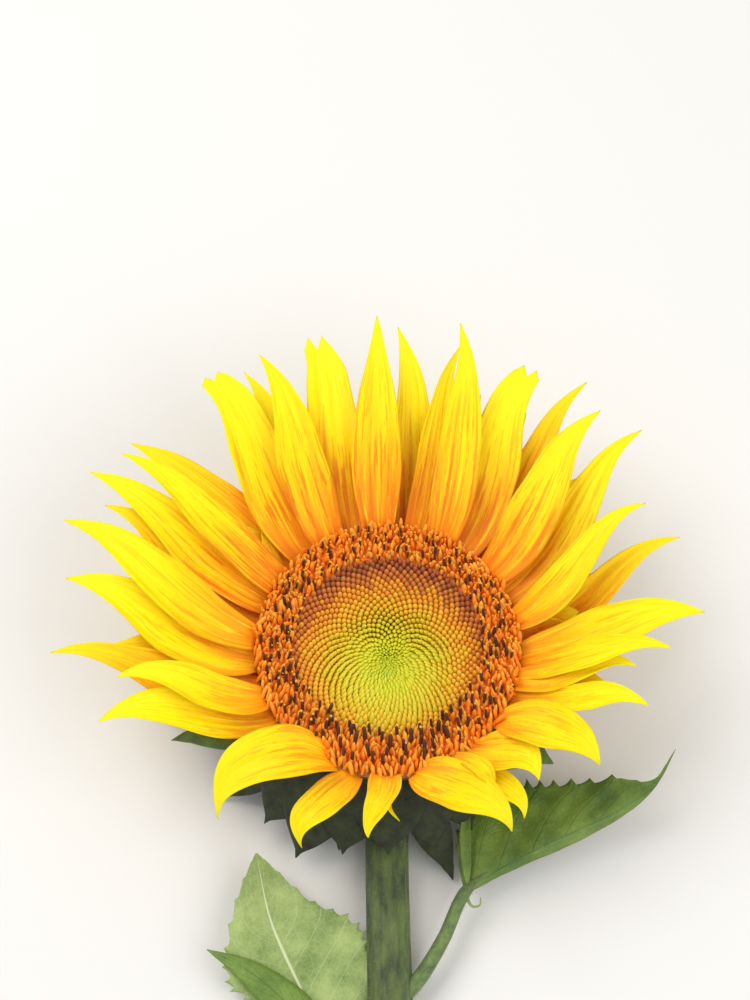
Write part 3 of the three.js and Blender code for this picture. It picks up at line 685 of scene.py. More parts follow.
def ligule_material(name, stops, groove_shade_colour, streaks):
    """Fresh ligule: waxy yellow tissue, warmer towards its foot. Broad folds and fine veins along it give
    uneven orange streaks, dark lines of painted shade in the grooves and pale lines of painted highlight on
    the ridges between, and the wax a soft pale shine."""
    material, tree, shader = new_material(name, Roughness=0.5, **{"Specular IOR Level": 0.18})
    uv = add_node(tree, "ShaderNodeUVMap", uv_map="Blade")
    along = add_node(tree, "ShaderNodeSeparateXYZ", {0: uv}).outputs[1]
    folds = add_node(tree, "ShaderNodeMapping", {"Vector": uv, "Scale": LIGULE_FOLDS})
    fold = add_node(tree, "ShaderNodeTexNoise", {"Vector": folds, "Scale": 1.0, "Detail": 4.0})
    veins = add_node(tree, "ShaderNodeMapping", {"Vector": uv, "Scale": LIGULE_VEINS})
    vein = add_node(tree, "ShaderNodeTexNoise",
                    {"Vector": veins, "Scale": 1.0, "Detail": 6.0, "Roughness": 0.68})
    broad = add_node(tree, "ShaderNodeMath", {0: fold, 1: streaks, 2: -streaks / 2},
                     operation="MULTIPLY_ADD")
    fine_streaks = streaks * FINE_STREAK_SHARE
    fine = add_node(tree, "ShaderNodeMath", {0: vein, 1: fine_streaks, 2: -fine_streaks / 2},
                    operation="MULTIPLY_ADD")
    both = add_node(tree, "ShaderNodeMath", {0: broad, 1: fine}, operation="ADD")
    warmth = add_node(tree, "ShaderNodeMath", {0: along, 1: both}, operation="ADD")
    colour = add_node(tree, "ShaderNodeValToRGB", {"Fac": warmth}, stops=stops)
    # Dark lines of painted shade in the grooves, full near the foot and gone near the tip
    line = add_node(tree, "ShaderNodeMapRange",
                    {"Value": vein, 1: GROOVE_SHADE[0], 2: GROOVE_SHADE[1], 3: 0.0, 4: GROOVE_SHADE[2]},
                    interpolation_type="SMOOTHSTEP")
    fade = add_node(tree, "ShaderNodeMapRange",
                    {"Value": along, 1: GROOVE_SHADE_FADE[0], 2: GROOVE_SHADE_FADE[1], 3: 0.0, 4: 1.0})
    groove_shade_amount = add_node(tree, "ShaderNodeMath", {0: line, 1: fade}, operation="MULTIPLY")
    groove_shaded = add_node(tree, "ShaderNodeMix",
                        {0: groove_shade_amount, MIX_A: colour, MIX_B: to_linear(groove_shade_colour)}, data_type="RGBA")
    # Pale lines of painted highlight on the ridges
    ridge = add_node(tree, "ShaderNodeMapRange",
                     {"Value": vein, 1: RIDGE_HIGHLIGHT[0], 2: RIDGE_HIGHLIGHT[1], 3: 0.0, 4: RIDGE_HIGHLIGHT[2]},
                     interpolation_type="SMOOTHSTEP")
    lit = add_node(tree, "ShaderNodeMix",
                   {0: ridge, MIX_A: groove_shaded.outputs[MIX_RESULT], MIX_B: to_linear(RIDGE_HIGHLIGHT_COLOUR)},
                   data_type="RGBA")
    height = add_node(tree, "ShaderNodeMath", {0: vein, 1: fold}, operation="ADD")
    bump = add_node(tree, "ShaderNodeBump", {"Height": height, "Strength": 0.5, "Distance": 0.9 * MM})
    tree.links.new(lit.outputs[MIX_RESULT], shader.inputs["Base Color"])
    tree.links.new(bump.outputs[0], shader.inputs["Normal"])
    return material


def floret_material(name, colour, roughness=0.5):
    """Small waxy floret: one plain colour with a fine grain, so that hundreds of them read as dots."""
    material, tree, shader = new_material(name, Roughness=roughness, **{"Base Color": to_linear(colour)})
    places = add_node(tree, "ShaderNodeTexCoord").outputs["Object"]
    grain = add_node(tree, "ShaderNodeTexNoise",
                     {"Vector": places, "Scale": per_metre(FLORET_GRAIN), "Detail": 2.0})
    bump = add_node(tree, "ShaderNodeBump", {"Height": grain, "Strength": 0.2, "Distance": 0.2 * MM})
    tree.links.new(bump.outputs[0], shader.inputs["Normal"])
    return material


def tissue_material(name, dark, light, blotch_mm, roughness=0.6, stretch=(1.0, 1.0, 1.0)):
    """Tissue of the stem, the bracts or the florets' bed: mottled from dark to light, with a fine felt
    of short hairs that softens its shine."""
    material, tree, shader = new_material(name, Roughness=roughness, **{"Sheen Weight": 0.15})
    places = add_node(tree, "ShaderNodeTexCoord").outputs["Object"]
    mapped = add_node(tree, "ShaderNodeMapping", {"Vector": places, "Scale": stretch})
    blotch = add_node(tree, "ShaderNodeTexNoise",
                      {"Vector": mapped, "Scale": per_metre(blotch_mm), "Detail": 5.0, "Roughness": 0.6})
    colour = add_node(tree, "ShaderNodeValToRGB", {"Fac": blotch}, stops=((0.3, dark), (0.72, light)))
    felt = add_node(tree, "ShaderNodeTexNoise",
                    {"Vector": places, "Scale": per_metre(FELT_GRAIN), "Detail": 3.0})
    height = add_node(tree, "ShaderNodeMath", {0: blotch, 1: 1.5, 2: felt}, operation="MULTIPLY_ADD")
    bump = add_node(tree, "ShaderNodeBump", {"Height": height, "Strength": 0.4, "Distance": 0.3 * MM})
    tree.links.new(colour.outputs[0], shader.inputs["Base Color"])
    tree.links.new(bump.outputs[0], shader.inputs["Normal"])
    return material


def leaf_material(name, dark, light, vein, strengths, roughness):
    """Leaf blade: netted tissue between a pale midrib and side veins that sweep towards the tip. The net
    gives a leathery, quilted look. strengths says how clearly the net, the side veins and the midrib show."""
    in_net, in_sides, in_midrib = strengths
    material, tree, shader = new_material(name, Roughness=roughness, **{"Specular IOR Level": 0.4})
    uv = add_node(tree, "ShaderNodeUVMap", uv_map="Blade")
    parts = add_node(tree, "ShaderNodeSeparateXYZ", {0: uv})
    centred = add_node(tree, "ShaderNodeMath", {0: parts, 1: 2.0, 2: -1.0}, operation="MULTIPLY_ADD")
    off_rib = add_node(tree, "ShaderNodeMath", {0: centred}, operation="ABSOLUTE")
    swept = add_node(tree, "ShaderNodeMath", {0: off_rib, 1: -VEIN_SWEEP, 2: parts.outputs[1]},
                     operation="MULTIPLY_ADD")
    count = add_node(tree, "ShaderNodeMath", {0: swept, 1: 2.0 * VEIN_PAIRS}, operation="MULTIPLY")
    fold = add_node(tree, "ShaderNodeMath", {0: count, 1: 1.0}, operation="PINGPONG")
    side, rib = (
        add_node(tree, "ShaderNodeMapRange", {"Value": off, 1: edge[0], 2: edge[1], 3: 0.0, 4: 1.0},
                 interpolation_type="SMOOTHSTEP")
        for off, edge in ((fold, SIDE_VEIN_EDGE), (off_rib, MIDRIB_EDGE)))
    branches = add_node(tree, "ShaderNodeMath", {0: side, 1: in_sides}, operation="MULTIPLY")
    midrib = add_node(tree, "ShaderNodeMath", {0: rib, 1: in_midrib}, operation="MULTIPLY")
    lines = add_node(tree, "ShaderNodeMath", {0: branches, 1: midrib}, operation="MAXIMUM")
    places = add_node(tree, "ShaderNodeTexCoord").outputs["Object"]
    net = add_node(tree, "ShaderNodeTexVoronoi", {"Vector": places, "Scale": per_metre(LEAF_NET_CELL)},
                   feature="DISTANCE_TO_EDGE")
    mesh = add_node(tree, "ShaderNodeMapRange",
                    {"Value": net, 1: NET_EDGE[0], 2: NET_EDGE[1], 3: 0.0, 4: 1.0})
    patch = add_node(tree, "ShaderNodeTexNoise",
                     {"Vector": places, "Scale": per_metre(LEAF_PATCH), "Detail": 5.0, "Roughness": 0.62})
    tissue = add_node(tree, "ShaderNodeValToRGB", {"Fac": patch}, stops=((0.32, dark), (0.7, light)))
    faint = add_node(tree, "ShaderNodeMath", {0: mesh, 1: in_net}, operation="MULTIPLY")
    netted = add_node(tree, "ShaderNodeMix", {0: faint, MIX_A: tissue, MIX_B: to_linear(vein)},
                      data_type="RGBA")
    veined = add_node(tree, "ShaderNodeMix",
                      {0: lines, MIX_A: netted.outputs[MIX_RESULT], MIX_B: to_linear(vein)},
                      data_type="RGBA")
    relief = add_node(tree, "ShaderNodeMath", {0: lines, 1: -2.0, 2: net}, operation="MULTIPLY_ADD")
    bump = add_node(tree, "ShaderNodeBump", {"Height": relief, "Strength": 0.5, "Distance": 0.6 * MM})
    tree.links.new(veined.outputs[MIX_RESULT], shader.inputs["Base Color"])
    tree.links.new(bump.outputs[0], shader.inputs["Normal"])
    return material


# Geometry Nodes

# Length of the shortest hair, as a share of the longest
SHORTEST_HAIR = 0.55


def new_tree(name, **kinds):
    """A tree of Geometry Nodes. kinds names its inputs between the geometry and the finish. Returns the
    tree and the sockets that give its inputs."""
    tree = bpy.data.node_groups.new(name, "GeometryNodeTree")
    for label, kind in {"Geometry": "Geometry", **kinds, "Finish": "Material"}.items():
        tree.interface.new_socket(label, in_out="INPUT", socket_type=f"NodeSocket{kind}")
    tree.interface.new_socket("Geometry", in_out="OUTPUT", socket_type="NodeSocketGeometry")
    return tree, add_node(tree, "NodeGroupInput").outputs


def end_tree(tree, instances, finish):
    """Makes a tree's instances real and gives them their finish."""
    joined = add_node(tree, "GeometryNodeRealizeInstances", {0: instances})
    finished = add_node(tree, "GeometryNodeSetMaterial", {"Geometry": joined, "Material": finish})
    add_node(tree, "NodeGroupOutput", {0: finished})
    return tree


def floret_tree():
    """Puts a unit shape on each point, upright along the point's own axis, and joins them."""
    tree, given = new_tree("Florets on points", Shape="Object", Width="Float", Height="Float",
                           Spread="Float", Seed="Int")
    axis = add_node(tree, "GeometryNodeInputNamedAttribute", {"Name": "axis"}, data_type="FLOAT_VECTOR")
    girth = add_node(tree, "GeometryNodeInputNamedAttribute", {"Name": "girth"}, data_type="FLOAT")
    upright = add_node(tree, "FunctionNodeAlignRotationToVector", {"Vector": axis}, axis="Z")
    roll = add_node(tree, "FunctionNodeRandomValue", {"Seed": given["Seed"], 2: 0.0, 3: 2 * math.pi},
                    data_type="FLOAT")
    turn = add_node(tree, "ShaderNodeCombineXYZ", {2: roll.outputs[1]})
    turned = add_node(tree, "FunctionNodeRotateRotation", {0: upright, 1: turn}, rotation_space="LOCAL")
    low = add_node(tree, "ShaderNodeMath", {0: 1.0, 1: given["Spread"]}, operation="SUBTRACT")
    high = add_node(tree, "ShaderNodeMath", {0: 1.0, 1: given["Spread"]}, operation="ADD")
    vary = add_node(tree, "FunctionNodeRandomValue", {2: low, 3: high, "Seed": given["Seed"]},
                    data_type="FLOAT")
    size = add_node(tree, "ShaderNodeCombineXYZ",
                    {0: given["Width"], 1: given["Width"], 2: given["Height"]})
    girthed = add_node(tree, "ShaderNodeVectorMath", {0: size, "Scale": girth}, operation="SCALE")
    scale = add_node(tree, "ShaderNodeVectorMath", {0: girthed, "Scale": vary.outputs[1]},
                     operation="SCALE")
    shape = add_node(tree, "GeometryNodeObjectInfo", {"Object": given["Shape"]})
    placed = add_node(tree, "GeometryNodeInstanceOnPoints", {
        "Points": given["Geometry"], "Instance": shape.outputs["Geometry"], "Rotation": turned,
        "Scale": scale})
    return end_tree(tree, placed, given["Finish"])


def hair_tree():
    """Strews short tapering hairs over a surface. They lean a little at random."""
    tree, given = new_tree("Hairs on a surface", Density="Float", Length="Float", Thickness="Float",
                           Lean="Float", Seed="Int")
    strewn = add_node(tree, "GeometryNodeDistributePointsOnFaces", {
        "Mesh": given["Geometry"], "Density": given["Density"], "Seed": given["Seed"]})
    hair = add_node(tree, "GeometryNodeMeshCone", {
        "Vertices": 3, "Radius Top": 0.0, "Radius Bottom": given["Thickness"], "Depth": given["Length"]},
        fill_type="NONE")
    back = add_node(tree, "ShaderNodeMath", {0: given["Lean"], 1: -1.0}, operation="MULTIPLY")
    least = add_node(tree, "ShaderNodeCombineXYZ", {0: back, 1: back})
    most = add_node(tree, "ShaderNodeCombineXYZ", {0: given["Lean"], 1: given["Lean"]})
    lean = add_node(tree, "FunctionNodeRandomValue", {0: least, 1: most, "Seed": given["Seed"]},
                    data_type="FLOAT_VECTOR")
    turned = add_node(tree, "FunctionNodeRotateRotation", {0: strewn.outputs["Rotation"], 1: lean},
                      rotation_space="LOCAL")
    vary = add_node(tree, "FunctionNodeRandomValue", {2: SHORTEST_HAIR, 3: 1.0, "Seed": given["Seed"]},
                    data_type="FLOAT")
    placed = add_node(tree, "GeometryNodeInstanceOnPoints", {
        "Points": strewn, "Instance": hair, "Rotation": turned, "Scale": vary.outputs[1]})
    return end_tree(tree, placed, given["Finish"])


def grow(piece, tree, **values):
    """Runs a node tree on a piece and keeps the result as its plain mesh."""
    modifier = piece.modifiers.new(tree.name, "NODES")
    modifier.node_group = tree
    sockets = {item.name: item.identifier for item in tree.interface.items_tree if item.in_out == "INPUT"}
    for name, value in values.items():
        modifier[sockets[name]] = value
    bpy.context.view_layer.update()
    evaluated = piece.evaluated_get(bpy.context.evaluated_depsgraph_get())
    mesh = bpy.data.meshes.new_from_object(evaluated)
    if not len(mesh.polygons):
        raise RuntimeError(f"{piece.name}: the node tree gave no faces")
    piece.modifiers.remove(modifier)
    old = piece.data
    piece.data = mesh
    mesh.name = piece.name
    bpy.data.meshes.remove(old)
    mesh.polygons.foreach_set("use_smooth", np.ones(len(mesh.polygons), bool))
    return piece


def hairs_on(surface, name, slot, tree, finish, seed, density, length_mm, lean=0.5, thickness_mm=0.07):
    """A piece of hairs that grow on a surface, drawn a little thicker than life, to show. They lie flat
    on the floor and end at the cut."""
    piece = bpy.data.objects.new(name, surface.data.copy())
    bpy.context.scene.collection.objects.link(piece)
    grow(piece, tree, Density=density, Length=length_mm * MM, Thickness=thickness_mm * MM, Lean=lean,
         Seed=seed, Finish=finish)
    places = np.zeros(len(piece.data.vertices) * 3, np.float32)
    piece.data.vertices.foreach_get("co", places)
    places = places.reshape(-1, 3)
    places[:, 1:] = np.maximum(places[:, 1:], (CAD_BOX[0][1], 0))
    piece.data.vertices.foreach_set("co", places.ravel())
    piece.data.update()
    return dress(piece, slot)


def floret_shape(name, profile, sides):
    """A small unit shape turned from a profile of (radius, height), with a low peak on top."""
    angles = [2 * math.pi * j / sides for j in range(sides)]
    points = [(radius * math.cos(angle), radius * math.sin(angle), height)
              for radius, height in profile for angle in angles]
    faces = [tuple(reversed(face)) for face in grid_faces(len(profile) - 1, sides, closed=True)]
    peak, last = len(points), len(points) - sides
    radius, height = profile[-1]
    points.append((0, 0, height + radius * FLORET_PEAK))
    faces += [(peak, last + j, last + (j + 1) % sides) for j in range(sides)]
    return new_piece(name, points, faces, ())


def strew(name, places, axes, girths, tree, shape, size, seed, finish):
    """A piece with a small shape on each place, turned to its axis. size is the shapes' width and
    height in millimetres, and the share by which they vary. girths gives each one its own scale."""
    width, height, spread = size
    mesh = bpy.data.meshes.new(name)
    mesh.from_pydata([tuple(point) for point in in_place(places)], [], [])
    mesh.attributes.new("axis", "FLOAT_VECTOR", "POINT").data.foreach_set(
        "vector", np.asarray(axes, np.float32).ravel())
    mesh.attributes.new("girth", "FLOAT", "POINT").data.foreach_set("value", np.asarray(girths, np.float32))
    piece = bpy.data.objects.new(name, mesh)
    bpy.context.scene.collection.objects.link(piece)
    grow(piece, tree, Shape=shape, Width=width * MM, Height=height * MM, Spread=spread, Seed=seed,
         Finish=finish)
    return dress(piece, "disc_floret")


# Settings

class RaySettings(PropertyGroup):
    thickness: FloatProperty(name="Thickness", description="Thickness of a ray at its middle, in mm",
                             default=0.6, min=0.2, max=1.2)
    crease: FloatProperty(name="Creases", description="Depth of the deepest lengthwise crease, in mm",
                          default=1.2, min=0, max=1.5)
    ripple: FloatProperty(name="Ripple", description="How far a ray waves up and down, in mm",
                          default=0.9, min=0, max=3)
    seed: IntProperty(name="Seed", description="Seed of the rays' small differences", default=11)


class DiscSettings(PropertyGroup):
    bud_count: IntProperty(name="Buds", description="Closed florets inside the ring", default=1180)
    bud_crowding: FloatProperty(name="Crowding", description="Above 0.5, buds are finer at the middle",
                                default=0.57, min=0.5, max=0.8)
    open_count: IntProperty(name="Open florets", description="Open florets in the ring", default=1030)
    north_lean: FloatProperty(name="Lean", description="How far the florets lean away from the stem",
                              default=math.radians(22), subtype="ANGLE")
    seed: IntProperty(name="Seed", description="Seed of the florets' small differences", default=5)


class GreenSettings(PropertyGroup):
    hair_length: FloatProperty(name="Hair length", description="Longest hair on the stem, in mm",
                               default=2.0, min=0.2, max=5)
    rib_depth: FloatProperty(name="Rib depth", description="Depth of the grooves along the stem, in mm",
                             default=0.28, min=0, max=1)
    seed: IntProperty(name="Seed", description="Seed of the hairs", default=3)


class StageSettings(PropertyGroup):
    floor_colour: FloatVectorProperty(name="Floor", description="Colour of the floor", subtype="COLOR",
                                      default=to_linear("#e9e7e2")[:3])
    key_power: FloatProperty(name="Key light", description="Power of the main soft light", default=14,
                             unit="POWER")


# Rays

# Looks of the ligules: name, colours from foot to tip, colour of the dark lines of painted shade in the
# grooves, and the strength of the uneven streaks
LIGULE_LOOKS = {
    "far": ("Ligule, warm foot", (
        (0.0, "#ea7e0c"), (0.15, "#faa20c"), (0.3, "#ffbe08"), (0.44, "#ffd604"), (0.62, "#ffe608"),
        (1.0, "#fff01a")), "#e67c06", 0.95),
    # Rays behind others: a darker, golden copy of the ligule, painted shade for the shadow of the rays in
    # front
    "behind": ("Ligule, behind others", (
        (0.0, "#ea7a10"), (0.2, "#f99a12"), (0.42, "#ffb80e"), (0.6, "#ffcc0c"), (0.8, "#ffdc10"),
        (1.0, "#ffe81c")), "#ea8008", 0.8),
    "side": ("Ligule, yellow", (
        (0.0, "#f2900c"), (0.12, "#fdb20c"), (0.26, "#ffcc04"), (0.4, "#ffde04"), (0.6, "#ffe908"),
        (1.0, "#fff01c")), "#f5a40a", 0.85),
    "near": ("Ligule, clear yellow", (
        (0.0, "#f48e12"), (0.12, "#fdb00c"), (0.3, "#ffca04"), (0.5, "#ffdc04"), (0.75, "#ffe70a"),
        (1.0, "#ffef1e")), "#f2980a", 0.75),
}


def on_far_side(root):
    return 20 < root < 160


def ligule_look(root, row):
    """Rays behind others take a darker golden copy, painted shade for the shadow of the rays in front; those
    on the far side are warm, at the sides yellow and near clear.
    """
    if row == "back" and 0 < root < 220 and not 60 < root < 125:
        return "behind"
    if on_far_side(root):
        return "far"
    return "near" if root > 220 or root < -30 else "side"


def ray_blade(settings, index, ray, rng):
    """Points, faces and UV of a ray: a creased, rippled blade that may hook, bow or end in a notch."""
    root, tip, reach, width, row, extras = ray
    droop = min(1, max(-1, RAY_HOOK_ONSET * math.cos(math.radians(tip))))
    far = on_far_side(root)
    shape = {
        **ROWS[row], "notch": 0, "heading": None, "bow": 0, "hook": RAY_HOOK * droop, "taper": RAY_TAPER,
        "root_half": FAR_RAY_ROOT_HALF_WIDTH if far else RAY_ROOT_HALF_WIDTH,
        "widest_at": FAR_RAY_WIDEST_AT if far else RAY_WIDEST_AT, **extras,
    }
    t, v = blade_grid(RAY_STATIONS, RAY_COLUMNS)
    rise = t[:, None]
    spine = head_spine(root, tip, RAY_ROOT_RADIUS, FLORET_PLANE - shape["drop"], reach,
                       FLORET_PLANE + shape["tip_height"], shape["leave"], shape["arrive"],
                       shape["heading"])
    places, tangents = along_bezier(spine, t)
    chord = spine[3] - spine[0]
    widest = width / 2
    tip_half = widest * NOTCH_TIP_SHARE if shape["notch"] else RAY_TIP_HALF_WIDTH
    half = swell(t, shape["widest_at"], shape["root_half"], widest, tip_half, shape["taper"])[:, None]
    phase = rng.uniform(0, 2 * np.pi, 4)
    edge = np.sin(2 * np.pi * EDGE_WAVES * rise + phase[0] + np.sign(v) * phase[1])
    creases = np.zeros_like(rise * v)
    centres = np.linspace(-CREASE_SPREAD, CREASE_SPREAD, RAY_CREASES)
    for centre in centres + rng.uniform(-CREASE_JITTER, CREASE_JITTER, RAY_CREASES):
        deep = settings.crease * rng.uniform(*CREASE_DEPTHS) ** CREASE_DEPTH_BIAS
        deep *= OUTER_CREASE_SHARE if abs(centre) > OUTER_CREASES_FROM else 1
        drift = centre + CREASE_DRIFT * np.sin(2 * np.pi * rise + centre * 9)
        creases -= deep * np.exp(-((v - drift) / rng.uniform(*CREASE_WIDTHS)) ** 2)
    creases *= np.sin(np.pi * rise) ** 0.5
    ripple = RIPPLE_SHARE * settings.ripple * np.sin(2 * np.pi * RIPPLE_WAVES * rise + phase[2])
    ripple = ripple * np.sin(np.pi * rise)
    frill = FRILL_SHARE * settings.ripple * v * np.abs(v) * rise
    frill = frill * np.sin(2 * np.pi * FRILL_WAVES * rise + phase[3])
    twist = math.radians(rng.uniform(-RAY_TWIST, RAY_TWIST)) * rise ** 2
    across = v * half * (1 + EDGE_WAVE * edge * np.abs(v))
    above = (shape["cup"] * v * v + creases + ripple + frill) * (half / widest) + across * np.sin(twist)
    across = across + shape["hook"] * np.sin(np.pi * rise ** RAY_HOOK_LATE)
    across = across + shape["bow"] * np.sin(np.pi * rise)
    near_tip = np.clip((rise - NOTCH_START) / (1 - NOTCH_START), 0, 1)
    along = -shape["notch"] * near_tip * np.abs(2 * np.abs(v) - 1)
    depth = settings.thickness * thinned(v, rise, RAY_EDGE_THICKNESS, RAY_TIP_THINNING)
    points, faces = blade_mesh(places, tangents, np.array([-chord[1], chord[0], 0.0]), across, above,
                               along, depth)
    return in_place(points), faces, blade_uv(t, v, index)


class SUNFLOWER_OT_rays(Operator):
    """Grow the thirty-five rays and the short ones behind them from the rim of the head"""
    bl_idname = "sunflower.rays"
    bl_label = "Rays"

    def execute(self, context):
        settings = context.scene.sunflower_rays
        rng = np.random.default_rng(settings.seed)
        looks = {key: ligule_material(*look) for key, look in LIGULE_LOOKS.items()}
        for index, ray in enumerate(RAYS):
            finish = looks[ligule_look(ray[0], ray[4])]
            blade_piece(f"ligule_{index + 1:02d}", ray_blade(settings, index, ray, rng), finish, "ray",
                        f"ray_{index + 1:02d}")
        for index, (azimuth, reach) in enumerate(FILLER_RAYS):
            short = (azimuth, azimuth, reach, FILLER_WIDTH, "back", FILLER_SHAPE)
            blade = ray_blade(settings, len(RAYS) + index, short, rng)
            # The short rays take the darker copy too, painted shade between the feet of the others
            blade_piece(f"short_ligule_{index + 1:02d}", blade, looks["behind"], "ray")
        for index, floret in enumerate(CURLED_FLORETS):
            blade = strap(*floret, 2 * len(RAYS) + index)
            blade_piece(f"curled_floret_{index + 1}", blade, looks["near"], "ray")
        return {"FINISHED"}


# Disc

# The colours of the closed florets are centred a little nearer the stem than the disc is, so the russet and
# maroon reach further in on the far side: partly the older buds' own colour, partly painted shade where that
# side of the head shades itself
DISC_COLOUR_SHIFT = 8
# Closed florets by distance from there: name, outer distance, colour, shape, and width and height in
# spacings of the florets
BUD_CLASSES = (
    ("lime", 8.0, "#c6cc26", "spear", 1.14, 3.0),
    ("yellow_green", 15.0, "#dad62c", "spear", 1.14, 3.0),
    ("straw", 21.0, "#e4d434", "spear", 1.1, 2.6),
    ("corn", 26.0, "#eacb30", "spear", 1.02, 2.0),
    ("gold", 31.5, "#eeb82c", "dome", 1.04, 1.5),
    ("amber", 37.0, "#e89c26", "dome", 1.04, 1.4),
    # Russet and maroon are partly the older buds' own colour and partly painted shade
    ("russet", 42.0, "#cc742e", "dome", 1.04, 1.4),
    ("maroon", 70.0, "#a5542c", "dome", 1.04, 1.4),
)
CLASS_BLEND = 1.3
BUD_LEAN_SPREAD = 0.03
BUD_SIZE_SPREAD = 0.08
# Degrees that closed florets lean towards that centre, by their distance from it
LEAN_BY_DISTANCE = ((0, 6, 14, 32), (0, 32, 44, 10))
# Unit shapes of the florets and their parts: a profile of (radius, height), and the sides
FLORET_SHAPES = {
    "spear": (((0.44, -0.3), (0.5, 0.25), (0.44, 0.64), (0.19, 1.0)), 6),
    "dome": (((0.44, -0.4), (0.5, 0.3), (0.44, 0.62), (0.25, 0.86)), 7),
    "tube": (((0.34, -0.3), (0.46, 0.3), (0.46, 0.62), (0.28, 0.88), (0.08, 1.0)), 6),
    "post": (((0.46, 0.0), (0.5, 0.1), (0.5, 0.92), (0.4, 1.0)), 6),
    "knob": (((0.3, 0.0), (0.5, 0.35), (0.45, 0.8), (0.2, 1.0)), 6),
}
FLORET_PEAK = 0.4
BED_RADII = (DISC_RADIUS, 46, 42, BEAD_RADIUS, 34, 30, 26, 21, 16, 11, 6, 2, 0)
BED_SEGMENTS = 96
# Ring of open florets. Sizes are width and height in millimetres, and the share by which they vary
RING_INSIDE = BEAD_RADIUS + 0.6
RING_OUTSIDE = DISC_RADIUS + 3.7
COROLLA_LEAN = 8.0
COROLLA_LEAN_SPREAD = 0.24
COROLLA_GIRTHS = (0.85, 1.15)
COROLLA_SIZE = (1.75, 4.6, 0.2)
COROLLA_COLOURS = (("orange", "#ffa22c"), ("deep_orange", "#ff921c"), ("pale_orange", "#ffb43a"))
# Rows of anthers: radius, number and girth
ANTHER_ROWS = ((38.8, 50, 0.8), (41.4, 46, 1.0), (44.3, 44, 1.0), (47.2, 44, 0.95), (50.0, 48, 0.85))
ANTHER_LEAN = 6.0
ANTHER_LEAN_SPREAD = 0.12
ANTHER_OFF_ROW = 0.8
ANTHER_OFF_PLACE = 0.3
ANTHER_FAR_GIRTH = 0.72
ANTHER_GIRTH_GAIN = 0.38
ANTHER_SIZE = (1.45, 5.2, 0.16)
ANTHERS_ABOVE_BED = 2.4
ANTHERS_KEPT = 0.86
STIGMA_SIZE = (0.9, 1.0, 0.25)
STIGMA_HEIGHT = 4.95
STIGMAS_KEPT = 0.6
POLLEN_SIZE = (0.8, 0.8, 0.3)
POLLEN_ABOVE_BED = 3.9
POLLEN_KEPT = 0.4
POLLEN_BEYOND = -20


def disc_surface(radius):
    """Height of the disc's surface: a shallow dish inside the open florets."""
    dish = np.minimum(1, radius / BEAD_RADIUS)
    return FLORET_PLANE - DISC_BELOW_FLORETS - DISH_DEPTH * (1 - dish ** 2)


def around_disc(radius, azimuth):
    """Places on the disc's surface."""
    return np.stack([radius * np.cos(azimuth), radius * np.sin(azimuth), disc_surface(radius)], axis=1)


def floret_axes(settings, places, jitter, rng, centre, inward):
    """The way that florets point: up, towards a centre by so many degrees, and away from the stem."""
    toward = np.array(centre)[None, :] - places[:, :2]
    toward = toward / np.maximum(np.linalg.norm(toward, axis=1, keepdims=True), 1)
    axes = np.zeros((len(places), 3))
    axes[:, :2] = toward * np.tan(np.radians(inward))[:, None] + rng.normal(0, jitter, (len(places), 2))
    axes[:, 1] += math.tan(settings.north_lean) * (1 - np.clip(inward / 90, 0, 1))
    axes[:, 2] = 1
    return unit(axes)


def floret_bed():
    """The pad that the florets stand on: orange under the ring, and green under the buds."""
    profile = [(0, DISC_UNDERSIDE), (DISC_RADIUS, DISC_UNDERSIDE)]
    profile += [(radius, float(disc_surface(radius))) for radius in BED_RADII]
    points, faces = turned_mesh(profile, BED_SEGMENTS)
    ring = tissue_material("Floret bed under the ring", "#dc6a10", "#ff9420", 3)
    pad = tissue_material("Floret bed under the buds", "#b4b02c", "#d0c03a", 4)
    under_buds = [all(math.hypot(*points[k][:2]) < RING_INSIDE for k in face)
                  and points[face[0]][2] > DISC_UNDERSIDE + 1 for face in faces]
    piece = new_piece("floret_bed", in_place(points), faces, (ring, pad), face_material=under_buds)
    dress(piece, "disc_floret", "disc")


def closed_florets(settings, rng, tree, shapes):
    """Buds along a spiral, from lime round their centre to maroon at the ring. The maroon is partly painted
    shade, and reaches further in on the far side.
    """
    count = np.arange(settings.bud_count) + 0.5
    share = count / settings.bud_count
    places = around_disc(RING_INSIDE * share ** settings.bud_crowding, count * GOLDEN_ANGLE)
    pitch = np.sqrt(2 * np.pi * settings.bud_crowding * RING_INSIDE ** 2
                    * share ** (2 * settings.bud_crowding - 1) / settings.bud_count)
    # Distance from the shifted centre, which sets the lean and the colour; the far side reaches the russet
    # and maroon, partly painted shade, sooner
    zone = np.hypot(places[:, 0], places[:, 1] + DISC_COLOUR_SHIFT)
    inward = np.interp(zone, *LEAN_BY_DISTANCE)
    axes = floret_axes(settings, places, BUD_LEAN_SPREAD, rng, (0, -DISC_COLOUR_SHIFT), inward)
    zone = zone + rng.normal(0, CLASS_BLEND, len(count))
    inner = -math.inf
    for name, outer, colour, shape, width, height in BUD_CLASSES:
        chosen = (zone >= inner) & (zone < outer)
        inner = outer
        if chosen.any():
            finish = floret_material(f"Closed floret, {name.replace('_', ' ')}", colour)
            strew(f"buds_{name}", places[chosen], axes[chosen], pitch[chosen], tree, shapes[shape],
                  (width, height, BUD_SIZE_SPREAD), settings.seed, finish)


